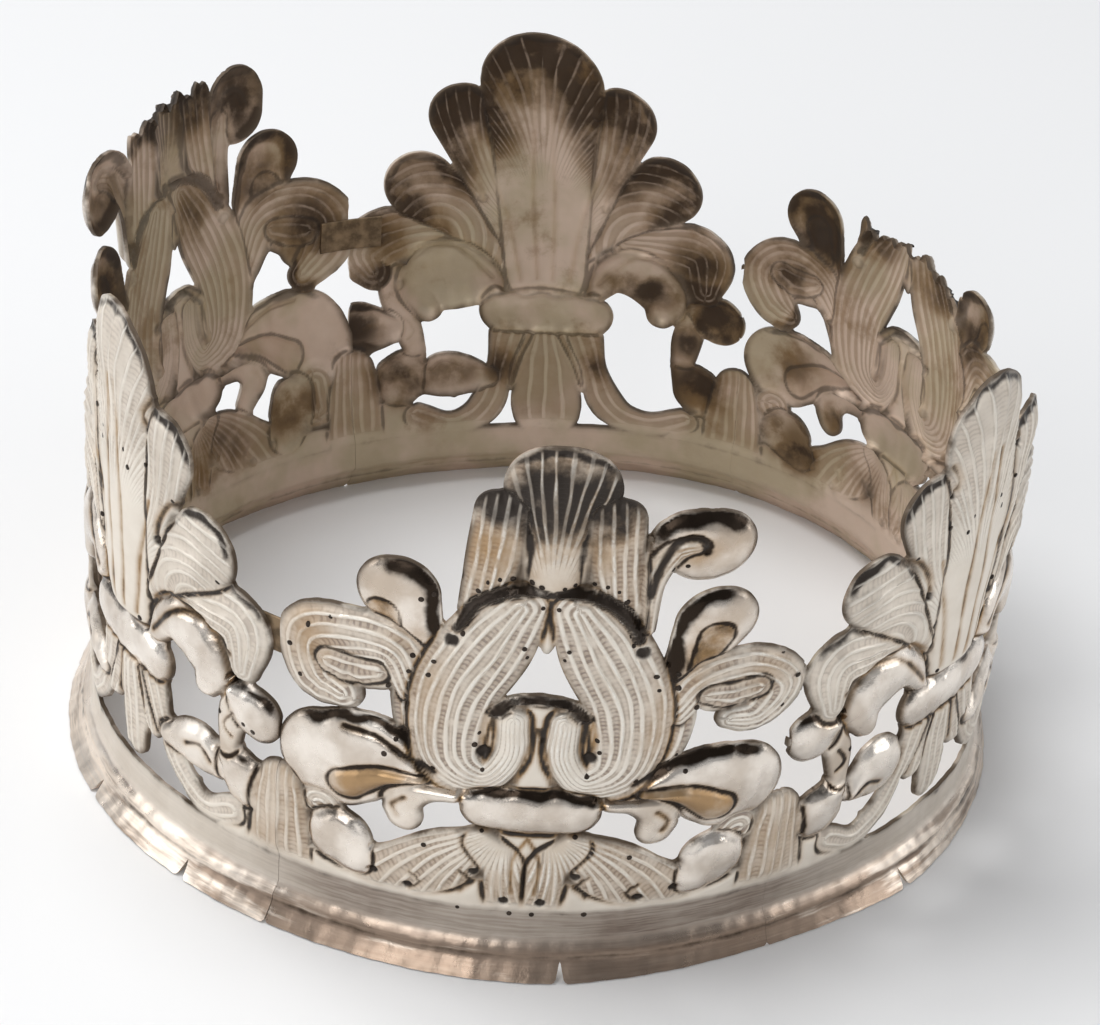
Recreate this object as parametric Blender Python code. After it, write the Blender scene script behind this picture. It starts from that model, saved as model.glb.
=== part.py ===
# Open crown for a church statue, raised, chased and pierced in thin silver sheet.
# Three sheets stand in a ring on a flared foot, and a small strap joins each pair.
# Each sheet carries two palmettes: a low one with paired tulip leaves, and a tall shell.
# Metres, +Z up. The front of the crown faces -Y and its foot stands on Z = 0.

import math

import bpy
import numpy as np
from mathutils import Vector
from mathutils.geometry import delaunay_2d_cdt

# Driving sizes
wall_radius = 0.064
sheet_thickness = 0.0006
band_height = 0.0099
lip_height = 0.0026
lip_reach = 0.0034
moulding_height = 0.0048
moulding_reach = 0.0013
slit_width = 0.0012
slit_height = 0.0026
seam_gap = 0.0003
strap_width = 0.0095
strap_height = 0.0052
strap_thickness = 0.0005
strap_middle_height = 0.0447
strap_clearance = 0.0003
# Relief of a leaf as a share of its width, of a nearly flat leaf, and where it begins
relief_share = 0.2
flat_rise = 0.0002
relief_edge = 0.0008
relief_start = 0.0019

# How finely the solids are faceted
outline_cell = 0.0007
outline_tolerance = 0.00023
longest_edge = 0.0048
facet_size = 0.0045
smallest_hole = 0.0018
# Square metres: anything less is a rounding sliver along a straight outline
smallest_facet = 1e-9
# Shares of the facet size: between points of the foot, up to the first row of the wall and
# between its rows, the least distance between two points, and from a point to the outline
foot_share = 1.3
first_row_share = 0.7
row_share = 0.87
apart_share = 0.62
outline_share = 0.3
# Points along and up a strap
strap_columns = 7
strap_rows = 3

# The leaves are drawn on a grid of a hundredth of the wall radius:
# across from the middle of a palmette, up from the foot, and half the leaf's width.
grid_unit = wall_radius / 100
tilt_height = 70

# The ring is not quite round and its wall leans out unevenly, as thin bent sheet does.
# Each wave: turns round the crown, then its cosine and sine shares of the wall radius.
ring_waves = ((2, 0, -0.023), (3, -0.006, 0.009), (4, 0, -0.008), (5, 0.008, 0.004))
lean_waves = ((0, 0.04, 0), (1, 0.016, -0.023), (2, 0, 0.06), (3, 0.015, -0.032), (4, -0.015, 0.014))

# Where use has bent the top of the wall out: middle and half width in degrees, the height
# where the bend starts, and how far it leans out for each metre above that
bends = ((259, 17, 0.034, 0.1),)

# Degrees round the crown from the front, positive to the right as seen from outside
slit_angles = (-62, -43, 5, 53)
# How far the lip falls short of its reach midway between neighbouring slits
bay_dips = ((-43, 5, 0.0003), (5, 53, 0.0012), (53, 100, 0.0013))

# Leaves of the low palmette, right half, lowest first
low_leaves = {
    "dart": ((0, 50, 4), (0, 68, 3.5)),
    "apron": ((0, 37, 6), (0, 18, 6)),
    "ground": ((0, 19, 5), (44, 17.5, 4)),
    "hook_ground": ((12, 52, 4), (10, 66, 3.6)),
    "fan_ground": ((0, 84.5, 0.8), (0, 92, 4), (0, 104, 6), (0, 116, 7)),
    "stem": ((21, 51, 3), (25.5, 60, 3), (26, 71, 4)),
    "wing": ((15, 47, 1.5), (25, 49.5, 5), (34, 48, 9.5), (39.5, 46, 11)),
    "wing_boss": ((21, 48, 1), (29, 46.5, 2.6), (36, 41, 3.4)),
    "small_scroll": ((12, 44, 1.5), (20, 43.5, 2.2), (25, 40.5, 4.2), (24.5, 36.5, 3.8)),
    "circle_lobe": ((17, 90, 2.3), (17.3, 103, 3), (21.5, 113, 5), (27.3, 110.2, 8.5)),
    "petal": ((25, 71, 3), (27.5, 82, 5.5), (30.8, 91, 8)),
    "spiral": ((25, 68, 3.5), (30, 75, 5.5), (39, 76.5, 6.5), (46, 71, 6.3), (42, 64.5, 4.5),
               (36.5, 65, 3)),
    "top_fan": ((0, 99, 5), (0, 112, 4.5), (0.8, 124, 9.6)),
    "side_fan": ((13, 92, 4), (11, 106, 5.2), (10.3, 117, 5)),
    "tulip": ((5.5, 95, 5.5), (11, 84, 8.8), (16.5, 70, 8.3), (16.5, 55, 6.8), (9.5, 50.5, 4),
              (4.9, 57, 3.7), (4.8, 66.5, 3.4)),
    "rolled_rim": ((0, 71.6, 1.7), (5, 70.6, 1.7), (8.5, 67.5, 1.6)),
    "outer_fan": ((10, 32, 4.5), (16, 27, 7.5), (24, 22.5, 6.5), (33, 21, 3.8)),
    "inner_fan": ((9, 33.5, 3.5), (4.8, 28, 4.5), (3.8, 20, 4), (4, 15, 3)),
    "ball_ground": ((42, 33.5, 5),),
    "spiral_ground": ((30, 72.5, 4.3), (36, 71, 4.5)),
    "ball": ((34.5, 22, 4.5), (38, 26.5, 7.3)),
    "collar": ((0, 42.5, 6.1), (8, 42.5, 5.8)),
}

# Leaves of the tall palmette, right half, lowest first
tall_leaves = {
    "heart": ((0, 42, 12), (0, 60, 13), (0, 80, 14)),
    "skirt": ((5, 42, 5), (8, 33, 5), (9, 29, 2.5)),
    "drop": ((0, 40, 3.5), (0, 30, 5.5), (0, 22, 4.5)),
    "foot_ground": ((31, 14, 3), (39, 19, 6), (46, 19, 6)),
    "strand": ((10, 42, 4.5), (12.5, 33, 3), (17.5, 24, 3.6), (26, 18.2, 3.2), (34, 21, 3.6)),
    "volute": ((15, 31, 3), (25, 32.8, 6.2), (33, 31, 3.5)),
    "foot_ball": ((34, 37, 3), (38.5, 30.5, 7)),
    "tie": ((37, 52, 3.5), (35, 45, 3.7), (34, 39, 3)),
    "side_ball": ((38, 55, 3), (43, 53, 6.8)),
    "curl_leaf": ((20, 70, 4), (30, 71, 6.5), (39, 70, 8), (39.5, 60, 4)),
    "third_lobe": ((8, 66, 5), (19, 76, 7), (29.5, 84, 9)),
    "second_lobe": ((6, 70, 6), (12, 88, 8), (18, 102, 9)),
    "top_lobe": ((0, 60, 10), (0, 90, 12), (0.5, 109.5, 14.3)),
    "bean": ((12.5, 55, 2.5), (17, 61, 5), (24, 61.5, 7), (29.5, 56, 6), (28.5, 51, 3.5)),
    "collar": ((0, 48.5, 6), (11, 48.5, 5.8)),
}

# The fluted leaf that covers each meeting of two palmettes
meeting_leaf = ((0, 14, 8), (0, 27, 7), (0, 34, 5.5))
meeting_from_low = 51

# Leaves that stay nearly flat, and leaves that stand out more than the others
flat_leaves = ("dart", "apron", "ground", "hook_ground", "fan_ground", "ball_ground", "spiral_ground",
               "foot_ground", "stem", "heart", "skirt")
bold_leaves = ("ball", "foot_ball", "side_ball", "circle_lobe", "bean", "collar", "volute")
bold_factor = 1.5

# One entry a palmette: leaves, angle, width of its left and right half, sideways tilt, height
palmettes = {
    "low_front": (low_leaves, 0.6, 1.035, 1.045, 0.019, 0.97),
    "tall_right": (tall_leaves, 57.7, 0.955, 1.14, -0.034, 0.982),
    "low_right": (low_leaves, 126.0, 1.05, 0.976, 0.048, 0.97),
    "tall_back": (tall_leaves, 183.7, 1.025, 0.98, 0.066, 0.982),
    "low_left": (low_leaves, 240.1, 1.0, 1.05, -0.038, 0.97),
    "tall_left": (tall_leaves, 302.5, 1.08, 0.957, -0.052, 0.982),
}
# Each sheet: its two palmettes, then the angles of its left and right end
sheets = {
    "sheet_front": ("low_front", "tall_right", -30.3, 92.5),
    "sheet_back": ("low_right", "tall_back", 92.5, 210.7),
    "sheet_left": ("low_left", "tall_left", 210.7, 329.7),
}
strap_places = {"strap_left": -30.3, "strap_right": 92.5, "strap_back": 210.7}

# Lobes lost in use, by palmette and side, with -1 for its left side seen from outside
lost_leaves = {
    ("low_front", -1): ("circle_lobe",),
    ("low_right", -1): ("circle_lobe", "side_fan", "top_fan"),
    ("low_right", 1): ("circle_lobe", "top_fan"),
    ("tall_back", -1): ("volute",),
}
# Leaves that one side has in another shape, on every palmette of a kind or on one alone
changed_leaves = {
    ("low", -1, "spiral"): ((24, 70, 4), (28, 79, 6), (37, 79.5, 7), (44.5, 76, 8), (43.5, 67.5, 7),
                            (38.5, 65, 4.7)),
    ("low", -1, "wing"): ((15, 47, 1.5), (24, 51, 6.5), (32, 50, 10.8), (40, 46.5, 12)),
    ("low", -1, "stem"): ((21, 51, 3), (24.3, 60, 3), (25, 71, 4)),
    ("low_right", 1, "spiral"): ((25, 68, 3.5), (30, 75, 5.5), (39, 76.5, 6.5), (45, 71, 6.5),
                                 (42.5, 64, 6.5), (39, 61.5, 4)),
    ("low_right", 1, "spiral_ground"): ((30, 71, 4.5), (36, 70.5, 4.8)),
    ("low_right", 1, "stem"): ((20, 51, 3), (22.5, 59, 3), (24, 69, 5)),
    ("low", -1, "petal"): ((23, 72, 4), (25, 82.5, 6), (28.3, 93.3, 8.2)),
    ("low_right", -1, "petal"): ((23, 72, 4), (24.8, 81, 6), (27.3, 90, 7.8)),
    ("low_left", -1, "spiral"): ((24, 70, 4), (29, 80, 6), (39, 81, 7.3), (45.5, 76, 7.3),
                                 (45, 69, 6.5), (40, 63.5, 4.5)),
    ("low_left", -1, "spiral_ground"): ((31, 77, 4.5), (37, 73, 4.8), (38.5, 70, 4.5)),
    ("low_left", -1, "stem"): ((19, 51, 3), (21, 60, 3), (22.5, 69, 4)),
    ("low_left", -1, "wing"): ((15, 47, 1.5), (24, 51, 6.5), (33, 50, 10.3), (38.5, 48, 11.3),
                               (44, 43, 8.5)),
    ("low_left", -1, "small_scroll"): ((12, 44, 1.5), (20, 43.5, 2.2), (24.5, 40.5, 4), (22.8, 36.5, 3.2),
                                       (20, 32.5, 2.6)),
    ("low_left", -1, "ball"): ((34, 22, 5), (35, 27, 6.5), (35.5, 32.3, 6)),
    ("low_left", -1, "ball_ground"): ((42, 33.5, 5), (43, 27, 5.5)),
    ("low_left", -1, "petal"): ((23, 72, 4), (26, 83, 6), (30.5, 94.5, 8)),
    ("low_left", -1, "circle_lobe"): ((17, 90, 2.3), (16.5, 103, 3), (19, 111, 5), (22.8, 114, 6.8),
                                      (23, 108.5, 6.8)),
    ("tall_back", 1, "curl_leaf"): ((20, 70, 4), (30, 71, 6.5), (39.5, 69, 7.5), (44.5, 65, 7),
                                    (43, 60, 4.5)),
    ("tall_back", 1, "side_ball"): ((41, 45, 4.7), (48, 45.5, 7.2)),
    ("tall_back", 1, "tie"): ((38.5, 60, 4), (38, 52, 3.7), (35.5, 45, 3.7), (34, 39, 3)),
    ("tall_back", -1, "drop"): ((0, 40, 3.5), (0, 30, 7.5), (0, 22, 9), (0, 16, 6.8)),
    ("tall_back", 1, "drop"): ((0, 40, 3.5), (0, 30, 7.5), (0, 22, 9), (0, 16, 6.8)),
    ("tall_back", -1, "strand"): ((10, 42, 4.5), (12, 33, 3.2), (14.5, 24.3, 4.5), (19, 19.2, 4.2),
                                  (26, 17.8, 3.8), (34, 21, 3.6)),
    ("tall_back", 1, "third_lobe"): ((8, 64, 5), (19, 74, 7), (29.5, 82, 9)),
    ("tall_back", -1, "third_lobe"): ((8, 68, 5), (19, 79, 7), (30, 87, 9)),
    ("tall_back", 1, "second_lobe"): ((6, 70, 6), (12, 86, 8), (18, 100, 9)),
    ("tall_back", -1, "second_lobe"): ((6, 70, 6), (12, 89, 8), (18.5, 103.5, 9)),
    ("tall_back", 1, "strand"): ((10, 42, 4.5), (12, 33, 3.2), (14.5, 24, 4.5), (19, 18.5, 4.2),
                                 (26, 16.6, 3.8), (34, 20, 3.6)),
    ("tall_back", 1, "volute"): ((15, 30, 3), (25, 31, 6.2), (33, 30, 3.5)),
    ("tall_back", 1, "bean"): ((12.5, 54, 2.5), (17, 57, 6.5), (24, 58.5, 9.5), (30, 56, 7.5), (30, 50, 4)),
    ("tall_right", -1, "volute"): ((30, 33, 3), (22, 36.5, 8)),
    ("tall_right", -1, "third_lobe"): ((8, 66, 5), (19, 77, 7), (31, 86.5, 9)),
    ("tall_right", -1, "top_lobe"): ((0, 60, 10), (0, 92, 12), (3.5, 116.5, 13)),
    ("tall_right", 1, "top_lobe"): ((0, 60, 10), (0, 92, 12), (-1.5, 113, 11.5)),
    ("tall_left", 1, "side_ball"): ((37, 53, 3), (42, 49.2, 6.8)),
    ("tall_left", -1, "top_lobe"): ((0, 60, 10), (0, 90, 12), (0.5, 112, 14.3)),
    ("tall_left", 1, "top_lobe"): ((0, 60, 10), (0, 90, 12), (0.5, 112, 14.3)),
}
# Where a palmette's top is torn away: the torn line's places across and heights
torn_tops = {
    "low_right": ((-21, -14, -5, 6, 10, 12.5, 16, 21), (93, 92, 95, 95.5, 93.5, 95.5, 96, 95)),
    "low_left": ((-21, 21), (119.5, 119.5)),
}
# Depth of the torn edge's jags, long and short, and how many radians each turns for a unit
torn_jags = ((1.1, 0.9), (0.7, 2.1))

silver_color = (0.76, 0.72, 0.68, 1)
strap_color = (0.5, 0.47, 0.43, 1)


def clear_scene():
    for item in list(bpy.data.objects):
        bpy.data.objects.remove(item)


def metal(name, color, roughness):
    material = bpy.data.materials.new(name)
    material.use_nodes = True
    shader = material.node_tree.nodes["Principled BSDF"]
    shader.inputs["Base Color"].default_value = color
    shader.inputs["Metallic"].default_value = 1.0
    shader.inputs["Roughness"].default_value = roughness
    return material


def lip_dip(angle):
    dip = np.zeros_like(angle)
    for start, end, depth in bay_dips:
        share = (np.degrees(angle) - start) / (end - start)
        inside = (share > 0) & (share < 1)
        dip = np.where(inside, depth * np.sin(math.pi * share), dip)
    return dip


def waves(shares, angle):
    return sum(cosine * np.cos(turns * angle) + sine * np.sin(turns * angle)
               for turns, cosine, sine in shares)


def wall_place(angle, height):
    """Distance of the middle of the sheet from the crown's axis."""
    ring = 1 + waves(ring_waves, angle)
    lean = waves(lean_waves, angle)
    above_foot = np.maximum(height - moulding_height, 0)
    reach = np.interp(height, (0, lip_height, 0.5 * (lip_height + moulding_height), moulding_height),
                      (lip_reach, moulding_reach, moulding_reach, 0))
    for middle, half_width, bottom, outward in bends:
        turn = np.mod(np.degrees(angle) - middle + 180, 360) - 180
        bulge = np.cos(0.5 * math.pi * np.clip(turn / half_width, -1, 1)) ** 2
        reach = reach + outward * bulge * np.maximum(height - bottom, 0)
    share = np.clip(1 - height / lip_height, 0, 1)
    return wall_radius * ring + above_foot * lean + reach - share * lip_dip(angle)


def surface_point(angle, height, outward):
    radius = wall_place(angle, height) + outward
    return np.stack((radius * np.sin(angle), -radius * np.cos(angle), height), -1)


def leaf_discs(points, spacing=1.2):
    """Discs along a smooth line through the leaf's points, a cubic between each pair."""
    nodes = np.array(points, float)
    if len(nodes) == 1:
        return nodes
    padded = np.vstack((2 * nodes[0] - nodes[1], nodes, 2 * nodes[-1] - nodes[-2]))
    discs = []
    for before, start, end, after in zip(padded, padded[1:], padded[2:], padded[3:]):
        steps = max(2, int(np.hypot(*(end - start)[:2]) / spacing))
        share = (np.arange(steps) / steps)[:, None]
        discs.append(0.5 * (2 * start + (end - before) * share
                            + (2 * before - 5 * start + 4 * end - after) * share ** 2
                            + (3 * start - before - 3 * end + after) * share ** 3))
    discs.append(nodes[-1:])
    return np.vstack(discs)


def inside_leaf(across, height, discs):
    """How far inside the leaf each point lies, and its share of the way to the edge."""
    depth = np.full(across.shape, -99.0)
    share = np.ones(across.shape)
    low = (discs[:, :2] - discs[:, 2:]).min(0) - 3
    high = (discs[:, :2] + discs[:, 2:]).max(0) + 3
    near = (across > low[0]) & (across < high[0]) & (height > low[1]) & (height < high[1])
    if near.any():
        away = np.hypot(across[near][:, None] - discs[:, 0], height[near][:, None] - discs[:, 1])
        best = np.argmax(discs[:, 2] - away, axis=1)
        rows = np.arange(len(best))
        depth[near] = (discs[:, 2] - away)[rows, best]
        share[near] = (away / discs[:, 2])[rows, best]
    return depth, share


def palmette_leaves(name):
    """Name, side and discs of every leaf that the palmette still has."""
    leaves = palmettes[name][0]
    kept = []
    for leaf, points in leaves.items():
        for side in (-1, 1):
            if leaf in lost_leaves.get((name, side), ()):
                continue
            kind = name.split("_")[0]
            shape = changed_leaves.get((kind, side, leaf), points)
            shape = changed_leaves.get((name, side, leaf), shape)
            kept.append((leaf, side, leaf_discs(shape)))
    return kept


def palmette_grid(name, angle, height):
    """Across and up on the palmette's own grid."""
    middle, left, right, tilt, tall = palmettes[name][1:]
    up = height / (grid_unit * tall)
    across = np.degrees(angle) - middle
    across = np.radians(across) * 100 - tilt * (up - tilt_height)
    return np.where(across < 0, across / left, across / right), up


def sheet_field(name, angle, height):
    """How far inside the sheet's outline each point lies, and its relief, in metres."""
    low, tall, start, end = sheets[name]
    up = height / grid_unit
    depth = band_height / grid_unit - up
    relief = np.zeros_like(up)
    edge = relief_edge / grid_unit
    layers = []
    for palmette in (tall, low):
        across, rise = palmette_grid(palmette, angle, height)
        torn = torn_tops.get(palmette)
        for leaf, side, discs in palmette_leaves(palmette):
            inside, share = inside_leaf(side * across, rise, discs)
            if torn:
                torn_height = np.interp(across, *torn)
                for jag, turn in torn_jags:
                    torn_height = torn_height + jag * np.sin(turn * across)
                near = np.abs(across) < torn[0][-1]
                inside = np.where(near, np.minimum(inside, torn_height - rise), inside)
            layers.append((leaf, inside, share, discs[:, 2].max()))
    middle = palmettes[low][1] + math.degrees(meeting_from_low / 100) * palmettes[low][3]
    for meeting in (start, middle, end):
        across = np.radians(np.degrees(angle) - meeting) * 100
        inside, share = inside_leaf(across, up, leaf_discs(meeting_leaf))
        layers.append(("meeting_leaf", inside, share, meeting_leaf[0][2]))
    for leaf, inside, share, width in layers:
        depth = np.maximum(depth, inside)
        rise = flat_rise / grid_unit if leaf in flat_leaves else relief_share * width
        rise *= bold_factor if leaf in bold_leaves else 1
        blend = np.clip(inside / edge, 0, 1)
        blend = blend * blend * (3 - 2 * blend)
        blend = blend * np.clip((height - band_height) / relief_start, 0, 1)
        relief = relief * (1 - blend) + rise * (1 - np.clip(share, 0, 1) ** 2) * blend
    depth = depth * grid_unit
    depth = np.minimum(depth, height)
    depth = np.minimum(depth, (angle - math.radians(start)) * wall_radius - seam_gap / 2)
    depth = np.minimum(depth, (math.radians(end) - angle) * wall_radius - seam_gap / 2)
    for slit in slit_angles:
        for turn in (0, 2 * math.pi):
            beside = np.abs(angle - math.radians(slit) - turn) * wall_radius
            wide = 0.5 * slit_width * (1 - height / slit_height)
            depth = np.minimum(depth, np.maximum(beside - wide, height - slit_height))
    return depth, relief * grid_unit


def outline_loops(depth, along, heights):
    """Closed lines where the depth is zero, by marching squares, with the sheet on the left."""
    inside = depth > 0
    points = {}
    links = {}

    def crossing(row, column, down, right):
        """Point on the grid edge from a cell corner to its neighbour."""
        key = (row, column, down)
        if key not in points:
            first = depth[row, column]
            second = depth[row + down, column + right]
            share = min(max(first / (first - second), 0.02), 0.98)
            points[key] = (along[column] + share * right * (along[1] - along[0]),
                           heights[row] + share * down * (heights[1] - heights[0]))
        return key

    pairs = {1: ("WS",), 2: ("SE",), 3: ("WE",), 4: ("EN",), 5: ("WN", "ES"), 6: ("SN",), 7: ("WN",),
             8: ("NW",), 9: ("NS",), 10: ("NE", "SW"), 11: ("NE",), 12: ("EW",), 13: ("ES",),
             14: ("SW",)}
    changes = inside[:-1, :-1].astype(int) + 2 * inside[:-1, 1:] + 4 * inside[1:, 1:] + 8 * inside[1:, :-1]
    for row, column in np.argwhere((changes > 0) & (changes < 15)):
        row, column = int(row), int(column)
        sides = {"S": (row, column, 0, 1), "N": (row + 1, column, 0, 1),
                 "W": (row, column, 1, 0), "E": (row, column + 1, 1, 0)}
        for first, second in pairs[int(changes[row, column])]:
            links[crossing(*sides[second])] = crossing(*sides[first])
    loops = []
    while links:
        start, place = links.popitem()
        loop = [start]
        while place != start:
            loop.append(place)
            place = links.pop(place)
        loops.append(np.array([points[key] for key in loop]))
    return loops


def loop_area(loop):
    after = np.roll(loop, -1, 0)
    return 0.5 * float((loop[:, 0] * after[:, 1] - after[:, 0] * loop[:, 1]).sum())


def simplified(points, tolerance):
    """Drops points of an open line that lie within the tolerance of its chords."""
    chord = points[-1] - points[0]
    length = max(float(np.hypot(*chord)), 1e-9)
    rest = points[1:-1] - points[0]
    if len(rest) == 0:
        return points
    if length < 1e-8:
        away = np.hypot(rest[:, 0], rest[:, 1])
    else:
        away = np.abs(rest[:, 0] * chord[1] - rest[:, 1] * chord[0]) / length
    worst = int(np.argmax(away)) + 1
    if away[worst - 1] < tolerance:
        return points[[0, -1]]
    first = simplified(points[:worst + 1], tolerance)
    return np.vstack((first[:-1], simplified(points[worst:], tolerance)))


def tidy_loop(loop):
    """The loop with few points: curves keep their form and no edge is too long."""
    far = int(np.argmax(np.hypot(*(loop - loop[0]).T)))
    closed = np.vstack((loop, loop[:1]))
    first = simplified(closed[:far + 1], outline_tolerance)
    second = simplified(closed[far:], outline_tolerance)
    corners = np.vstack((first[:-1], second[:-1]))
    tidy = []
    for start, end in zip(corners, np.roll(corners, -1, 0)):
        pieces = max(1, math.ceil(float(np.hypot(*(end - start))) / longest_edge))
        for step in range(pieces):
            tidy.append(start + (end - start) * step / pieces)
    return np.array(tidy)


def edge_distance(points, starts, ends):
    """Distance of each point from the nearest outline edge."""
    nearest = np.full(len(points), 9.0)
    for start, end in zip(starts, ends):
        chord = end - start
        share = np.clip(((points - start) @ chord) / (chord @ chord), 0, 1)
        foot = start + share[:, None] * chord
        nearest = np.minimum(nearest, np.hypot(*(points - foot).T))
    return nearest


def spread_points(name, start, end, top):
    """Points wanted inside the sheet: foot rows, leaf middles and an even grid."""
    wanted = []
    foot_rows = (lip_height, 0.5 * (lip_height + moulding_height), moulding_height)
    for row in foot_rows:
        for along in np.arange(start, end, foot_share * facet_size):
            wanted.append((along, row))
    for palmette in sheets[name][:2]:
        middle, left, right, tilt, tall = palmettes[palmette][1:]
        for leaf, side, discs in palmette_leaves(palmette):
            if leaf in flat_leaves:
                continue
            for across, up, _ in discs[::2]:
                stretched = side * across * (left if side < 0 else right)
                angle = math.radians(middle) + (stretched + tilt * (up - tilt_height)) / 100
                wanted.append((angle * wall_radius, up * grid_unit * tall))
    bottom = moulding_height + first_row_share * facet_size
    for row, height in enumerate(np.arange(bottom, top, row_share * facet_size)):
        shift = 0.5 * facet_size * (row % 2)
        for along in np.arange(start + shift, end, facet_size):
            wanted.append((along, height))
    return wanted


def thinned(points, spacing):
    """Keeps points, first come first served, that stay a spacing from those kept before."""
    kept = []
    cells = {}
    for x, y in points:
        cell = (int(x // spacing), int(y // spacing))
        near = [other for dx in (-1, 0, 1) for dy in (-1, 0, 1)
                for other in cells.get((cell[0] + dx, cell[1] + dy), ())]
        if all((x - a) ** 2 + (y - b) ** 2 > spacing ** 2 for a, b in near):
            kept.append((x, y))
            cells.setdefault(cell, []).append((x, y))
    return np.array(kept)


def point_in_loops(points, loops):
    """True where a point has the sheet round it, by counting crossings of all the loops."""
    inside = np.zeros(len(points), bool)
    for loop in loops:
        for start, end in zip(loop, np.roll(loop, -1, 0)):
            spans = (start[1] > points[:, 1]) != (end[1] > points[:, 1])
            slope = (end[0] - start[0]) / (end[1] - start[1]) if end[1] != start[1] else 0
            inside ^= spans & (points[:, 0] < start[0] + slope * (points[:, 1] - start[1]))
    return inside


def leaf_top(name):
    """Height that no leaf of the sheet stands above."""
    tops = [(discs[:, 1] + discs[:, 2]).max() * palmettes[palmette][-1]
            for palmette in sheets[name][:2] for _, _, discs in palmette_leaves(palmette)]
    return max(tops) * grid_unit


def flat_triangles(name):
    """The sheet rolled out flat: points along and up, and its triangles."""
    start, end = (math.radians(angle) * wall_radius for angle in sheets[name][2:])
    top = leaf_top(name) + 4 * outline_cell
    along = np.arange(start - 2 * outline_cell, end + 2 * outline_cell, outline_cell)
    heights = np.arange(-1.5 * outline_cell, top, outline_cell)
    grid_along, grid_height = np.meshgrid(along, heights)
    depth, _ = sheet_field(name, grid_along / wall_radius, grid_height)
    loops = outline_loops(depth, along, heights)
    outer = max(loops, key=loop_area)
    holes = [loop for loop in loops if loop_area(loop) < -smallest_hole ** 2]
    loops = [tidy_loop(loop) for loop in [outer] + holes]
    starts = np.vstack(loops)
    ends = np.vstack([np.roll(loop, -1, 0) for loop in loops])
    wanted = thinned(spread_points(name, start, end, top), apart_share * facet_size)
    wanted = wanted[point_in_loops(wanted, loops)]
    wanted = wanted[edge_distance(wanted, starts, ends) > outline_share * facet_size]
    edges = []
    first = 0
    for loop in loops:
        count = len(loop)
        edges += [(first + step, first + (step + 1) % count) for step in range(count)]
        first += count
    flat = np.vstack((starts, wanted))
    result = delaunay_2d_cdt([Vector(point) for point in flat], edges, [], 0, 1e-7)
    places = np.array([tuple(point) for point in result[0]])
    triangles = np.array([face for face in result[2]])
    middles = places[triangles].mean(1)
    triangles = triangles[point_in_loops(middles, loops)]
    corners = places[triangles]
    turn = np.cross(corners[:, 1] - corners[:, 0], corners[:, 2] - corners[:, 0])
    real = np.abs(turn) > 2 * smallest_facet
    triangles = triangles[real]
    turn = turn[real]
    triangles[turn < 0] = triangles[turn < 0][:, ::-1]
    return places, triangles


def boundary_edges(triangles):
    """Directed edges that only one triangle has."""
    directed = {}
    for first, second, third in triangles.tolist():
        for edge in ((first, second), (second, third), (third, first)):
            directed[edge] = True
    return [edge for edge in directed if (edge[1], edge[0]) not in directed]


def make_sheet(name, material):
    places, triangles = flat_triangles(name)
    used = np.unique(triangles)
    renumber = np.zeros(len(places), int)
    renumber[used] = np.arange(len(used))
    places = places[used]
    triangles = renumber[triangles]
    angle = places[:, 0] / wall_radius
    height = np.where(np.abs(places[:, 1]) < 1e-6, 0, places[:, 1])
    relief = sheet_field(name, angle, height)[1]
    outer = surface_point(angle, height, relief + sheet_thickness / 2)
    inner = surface_point(angle, height, relief - sheet_thickness / 2)
    count = len(places)
    faces = triangles.tolist() + (triangles[:, ::-1] + count).tolist()
    for first, second in boundary_edges(triangles):
        faces.append((second, first, first + count))
        faces.append((second, first + count, second + count))
    return solid(name, np.vstack((outer, inner)), faces, material)


def make_strap(name, middle, material):
    """A small plate behind the lobes that meet at a seam."""
    columns = np.linspace(-0.5, 0.5, strap_columns) * strap_width
    rows = np.linspace(-0.5, 0.5, strap_rows) * strap_height
    angle = (math.radians(middle) + columns / wall_radius)[None, :].repeat(strap_rows, 0).ravel()
    height = (strap_middle_height + rows)[:, None].repeat(strap_columns, 1).ravel()
    behind = -sheet_thickness / 2 - strap_clearance
    outer = surface_point(angle, height, behind)
    inner = surface_point(angle, height, behind - strap_thickness)
    triangles = []
    for row in range(strap_rows - 1):
        for column in range(strap_columns - 1):
            corner = strap_columns * row + column
            above = corner + strap_columns
            triangles.append((corner, corner + 1, above + 1))
            triangles.append((corner, above + 1, above))
    triangles = np.array(triangles)
    count = strap_columns * strap_rows
    faces = triangles.tolist() + (triangles[:, ::-1] + count).tolist()
    for first, second in boundary_edges(triangles):
        faces.append((second, first, first + count))
        faces.append((second, first + count, second + count))
    return solid(name, np.vstack((outer, inner)), faces, material)


def solid(name, points, faces, material):
    mesh = bpy.data.meshes.new(name)
    mesh.from_pydata(points.tolist(), [], faces)
    mesh.update()
    mesh.materials.append(material)
    mesh.shade_smooth()
    mesh.set_sharp_from_angle(angle=math.radians(40))
    item = bpy.data.objects.new(name, mesh)
    bpy.context.scene.collection.objects.link(item)
    return item


def centre_on_origin(items):
    """Moves every piece so that the origin is under the middle of the crown's box."""
    corners = np.array([tuple(vertex.co) for item in items for vertex in item.data.vertices])
    middle = 0.5 * (corners.min(0) + corners.max(0))
    for item in items:
        for vertex in item.data.vertices:
            vertex.co.x -= middle[0]
            vertex.co.y -= middle[1]


def build():
    clear_scene()
    items = [make_sheet(name, metal(name + "_silver", silver_color, 0.35)) for name in sheets]
    for name, middle in strap_places.items():
        items.append(make_strap(name, middle, metal(name + "_metal", strap_color, 0.5)))
    centre_on_origin(items)


build()
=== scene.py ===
import math

import bpy
import numpy as np
from mathutils import Matrix, Vector


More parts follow.
